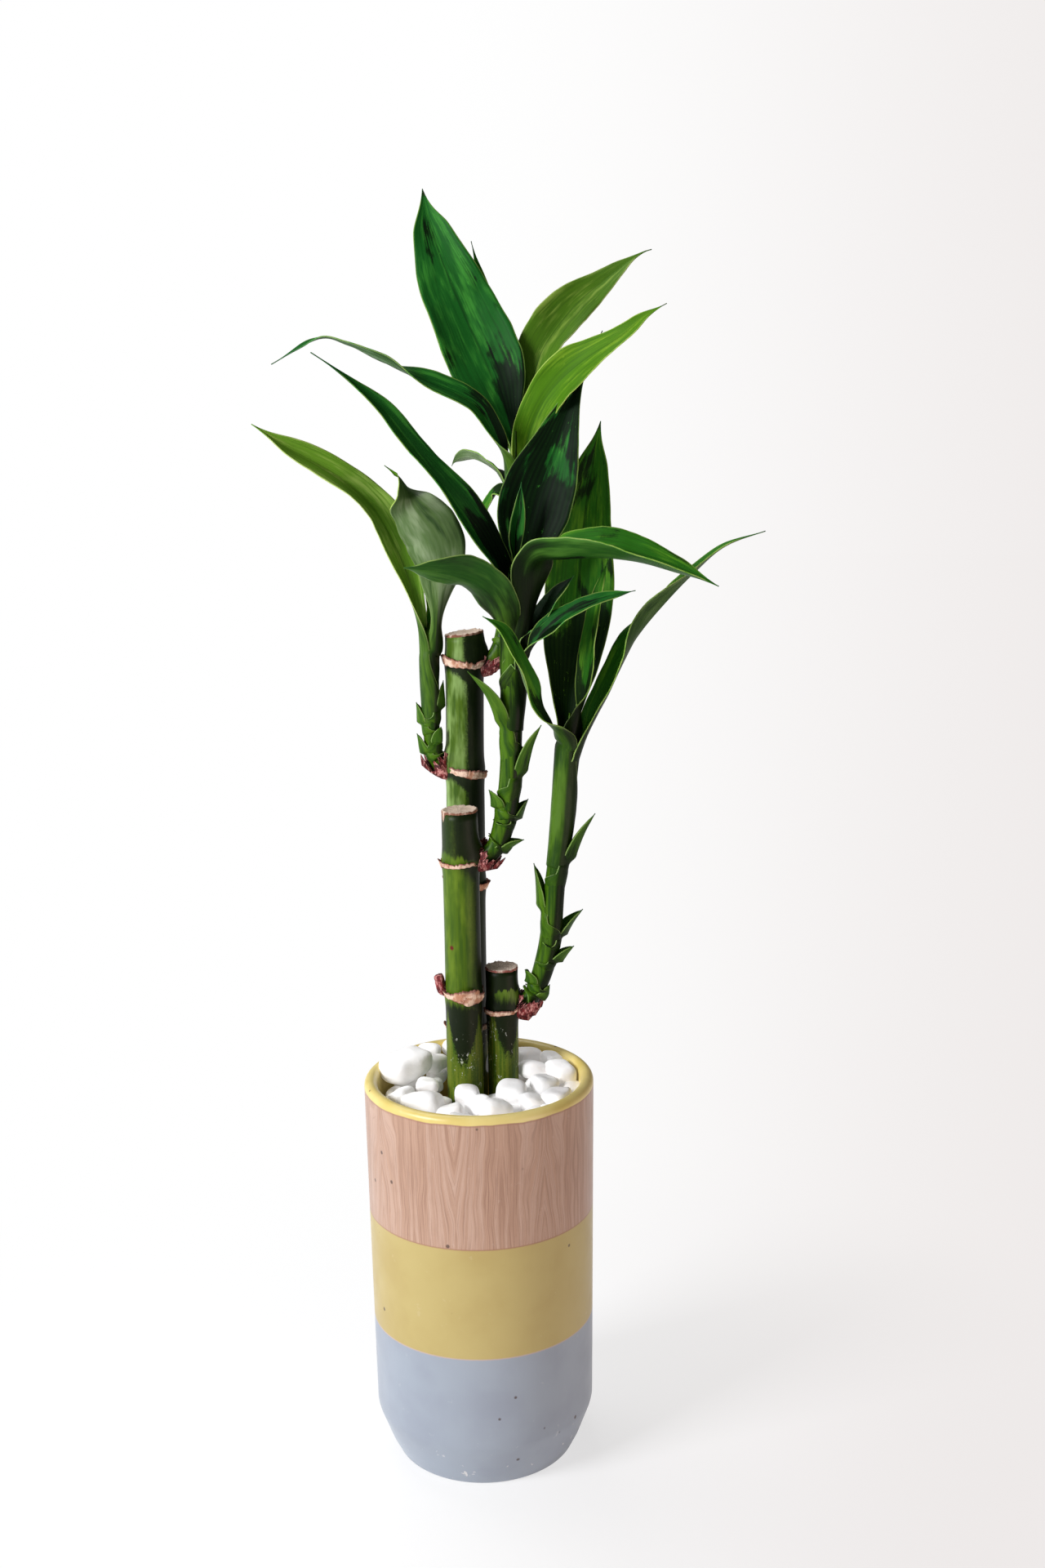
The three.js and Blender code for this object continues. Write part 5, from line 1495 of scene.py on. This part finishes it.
         "spine": [(-14.5, 20.8, 309), (-12.5, 22, 324), (-9, 23, 338), (-8, 24, 345)],
         "face": [(0.3, 0, -1, 0.1)]},
    ],
}

bladeTool = leafTool()
dropStep = 7  # or so
lastDrop = 2.4
leafSeedStep = 3.7


# Drops below the throat at which the sheath's middle line hugs the stem
def sheathDrops(sheath):
    count = max(2, round(sheath / dropStep))
    return [lerp(sheath, lastDrop, i / (count - 1)) for i in range(count)]


def leafPiece(name, stem, entry, seed):
    leaf = {**blade, **entry}
    out = ray(math.radians(leaf["from"]))
    standOff = stem["radius"] + leaf["gap"]
    start = leaf["spine"][0][2]
    sheath = leaf["sheath"]
    roots = []
    for drop in sheathDrops(sheath):
        hold = standOff - leaf["tuck"] * smoothstep(drop / sheath, 0.5, 1)
        roots.append(axisPoint(stem, start - drop) + out * hold)
    path, length = smoothPath([*roots, *leaf["spine"]], midribSteps)
    hints = [(0, -out.x, -out.y, 0), *leaf["face"]]
    runs = [i / midribSteps * length for i in range(midribSteps + 1)]
    faces = [faceAt(hints, max(0, (run - sheath) / (length - sheath))) for run in runs]
    finishes = leafFinishes[leaf.get("look") or leaf["tone"]]
    values = {
        **{label: float(leaf[label.lower()]) for label in plainInputs},
        "Half Width": leaf["width"] / 2 * mm,
        "Petiole": leaf["petiole"] * mm,
        "Stand Off": standOff * mm,
        "Tuck": leaf["tuck"] * mm,
        "Wave": leaf["ripple"] * leaf["wave"] * mm,
        "Length": length * mm,
        "Sheath": sheath / length,
        "Seed": float(seed),
        "Dusk": float(stem["dusk"] + leaf["dusk"]),
        "Rows": leaf["rows"],
        "Strips": leaf["strips"],
        "Finish": finishes[0],
    }
    return runTool(name, midribMesh(path, faces), bladeTool, values, finishes, leaf["thickness"] * mm)


leafCount = 0
for shoot, group in leaves.items():
    for number, leaf in enumerate(group, 1):
        leafCount += 1
        piece = leafPiece("leaf" + shoot.title() + str(number), stems[shoot], leaf, leafCount * leafSeedStep)
        settle(piece, "leaf_" + leaf["tone"], "leaf_" + shoot + "_" + str(number))
print("leaves made:", leafCount)


# Stems with their small scale leaves

stemColours = {"body": "#42650c", "shade": "#203f09", "light": "#5a761e", "dusk": "#081103"}


def stemFinish(colours):
    f = Finish("stemSkin", Specular_IOR_Level=0.1)
    place = f.place()
    lines = f.grain(place * Vector((1, 1, 0.05)), 700, 3, 0.6)
    cloud = f.grain(place * Vector((1, 1, 0.3)), 110, 3, 0.6)
    f.colour = f.blend(f.ease(lines, 0.35, 0.65), colours["shade"], colours["body"])
    f.paint(f.ease(cloud, 0.5, 0.7) * 0.6, colours["light"])
    # painted shade, near black on the side away from the sun
    dusk = f.attribute("dusk") + (cloud - 0.5) * 0.5 + (lines - 0.5) * 0.3
    f.paint(f.ease(dusk, -0.12, 0.2) * 0.92, colours["dusk"])
    return f.feed(Roughness=lerp(0.3, 0.48, lines), Normal=f.bump(lines, 0.0001))


# Shares of a stem's radius at its foot and tip and of its length over which it thins, and how uneven it is
stemShape = {"foot": 0.8, "tip": 0.1, "thinning": 0.14, "uneven": 0.04, "sides": 40}


def stemRadius(stem, share, angle):
    thin = lerp(1, stemShape["tip"], smoothstep(share, stem["tip"] - stemShape["thinning"], stem["tip"]))
    even = stem["radius"] * lerp(stemShape["foot"], 1, smoothstep(share, 0, 0.25)) * thin
    return even * (1 + stemShape["uneven"] * math.sin(2 * angle + share * 9))


# Keeps how far each point of the skin faces away from the sunny side, for the painted shade on that side
def storeDusk(mesh, shift):
    dusk = mesh.attributes.new("dusk", "FLOAT", "POINT")
    dusk.data.foreach_set("value", [v.normal.dot(shadeWay) + shift for v in mesh.vertices])
    return mesh


scaleLeaf = {
    "throat": 0.28,  # share of its height that is sheath
    "widths": 2.5,  # of the stem's radius
    "gap": 0.35,
    "wrap": 1.35,
    "crease": 0.7,
    "curl": 0.5,
    "wave": 0.1,
    "waves": 1,
    "uneven": 0.2,
    "peak": 0.32,
    "taper": 1.05,
    "neck": 1,
    "dark": 0.25,
    "rows": 48,
    "look": "bract",
}


# A scale leaf: its lower part is a sheath, its upper part a short point that stands off
def bractLeaf(stem, start, tipPlace):
    tip = Vector(tipPlace)
    throat = lerp(start, tip.z, scaleLeaf["throat"])
    away = tip - axisPoint(stem, tip.z)
    away.z = 0
    out = away.normalized()
    hold = stem["radius"] + scaleLeaf["gap"]
    spine = [axisPoint(stem, lerp(throat, tip.z, share)) + out * lerp(hold, away.length, share ** 2)
             for share in (0, 0.33, 0.67, 1)]
    return {
        **scaleLeaf,
        "from": math.degrees(math.atan2(out.y, out.x)),
        "width": scaleLeaf["widths"] * stem["radius"],
        "sheath": throat - start,
        "petiole": 1.1 * hold,
        "spine": spine,
        "face": [(1, -out.x, -out.y, 0.2)],
    }


stemSkin = stemFinish(stemColours)
for stemIndex, (shoot, stem) in enumerate(stems.items()):
    shape = Shape()
    shape.skin(rodRows(stem["path"], lambda share, angle: stemRadius(stem, share, angle), stemShape["sides"]))
    skin = storeDusk(shape.mesh("stem", [stemSkin]), stem["dusk"])
    addPiece("stem" + shoot.title(), skin, "stem", "stem_" + shoot)
    for number, bract in enumerate(stem["bracts"], 1):
        name = "bract" + shoot.title() + str(number)
        settle(leafPiece(name, stem, bractLeaf(stem, *bract), stemIndex * 9 + number), "stem")
print("stems made")

bpy.context.view_layer.update()
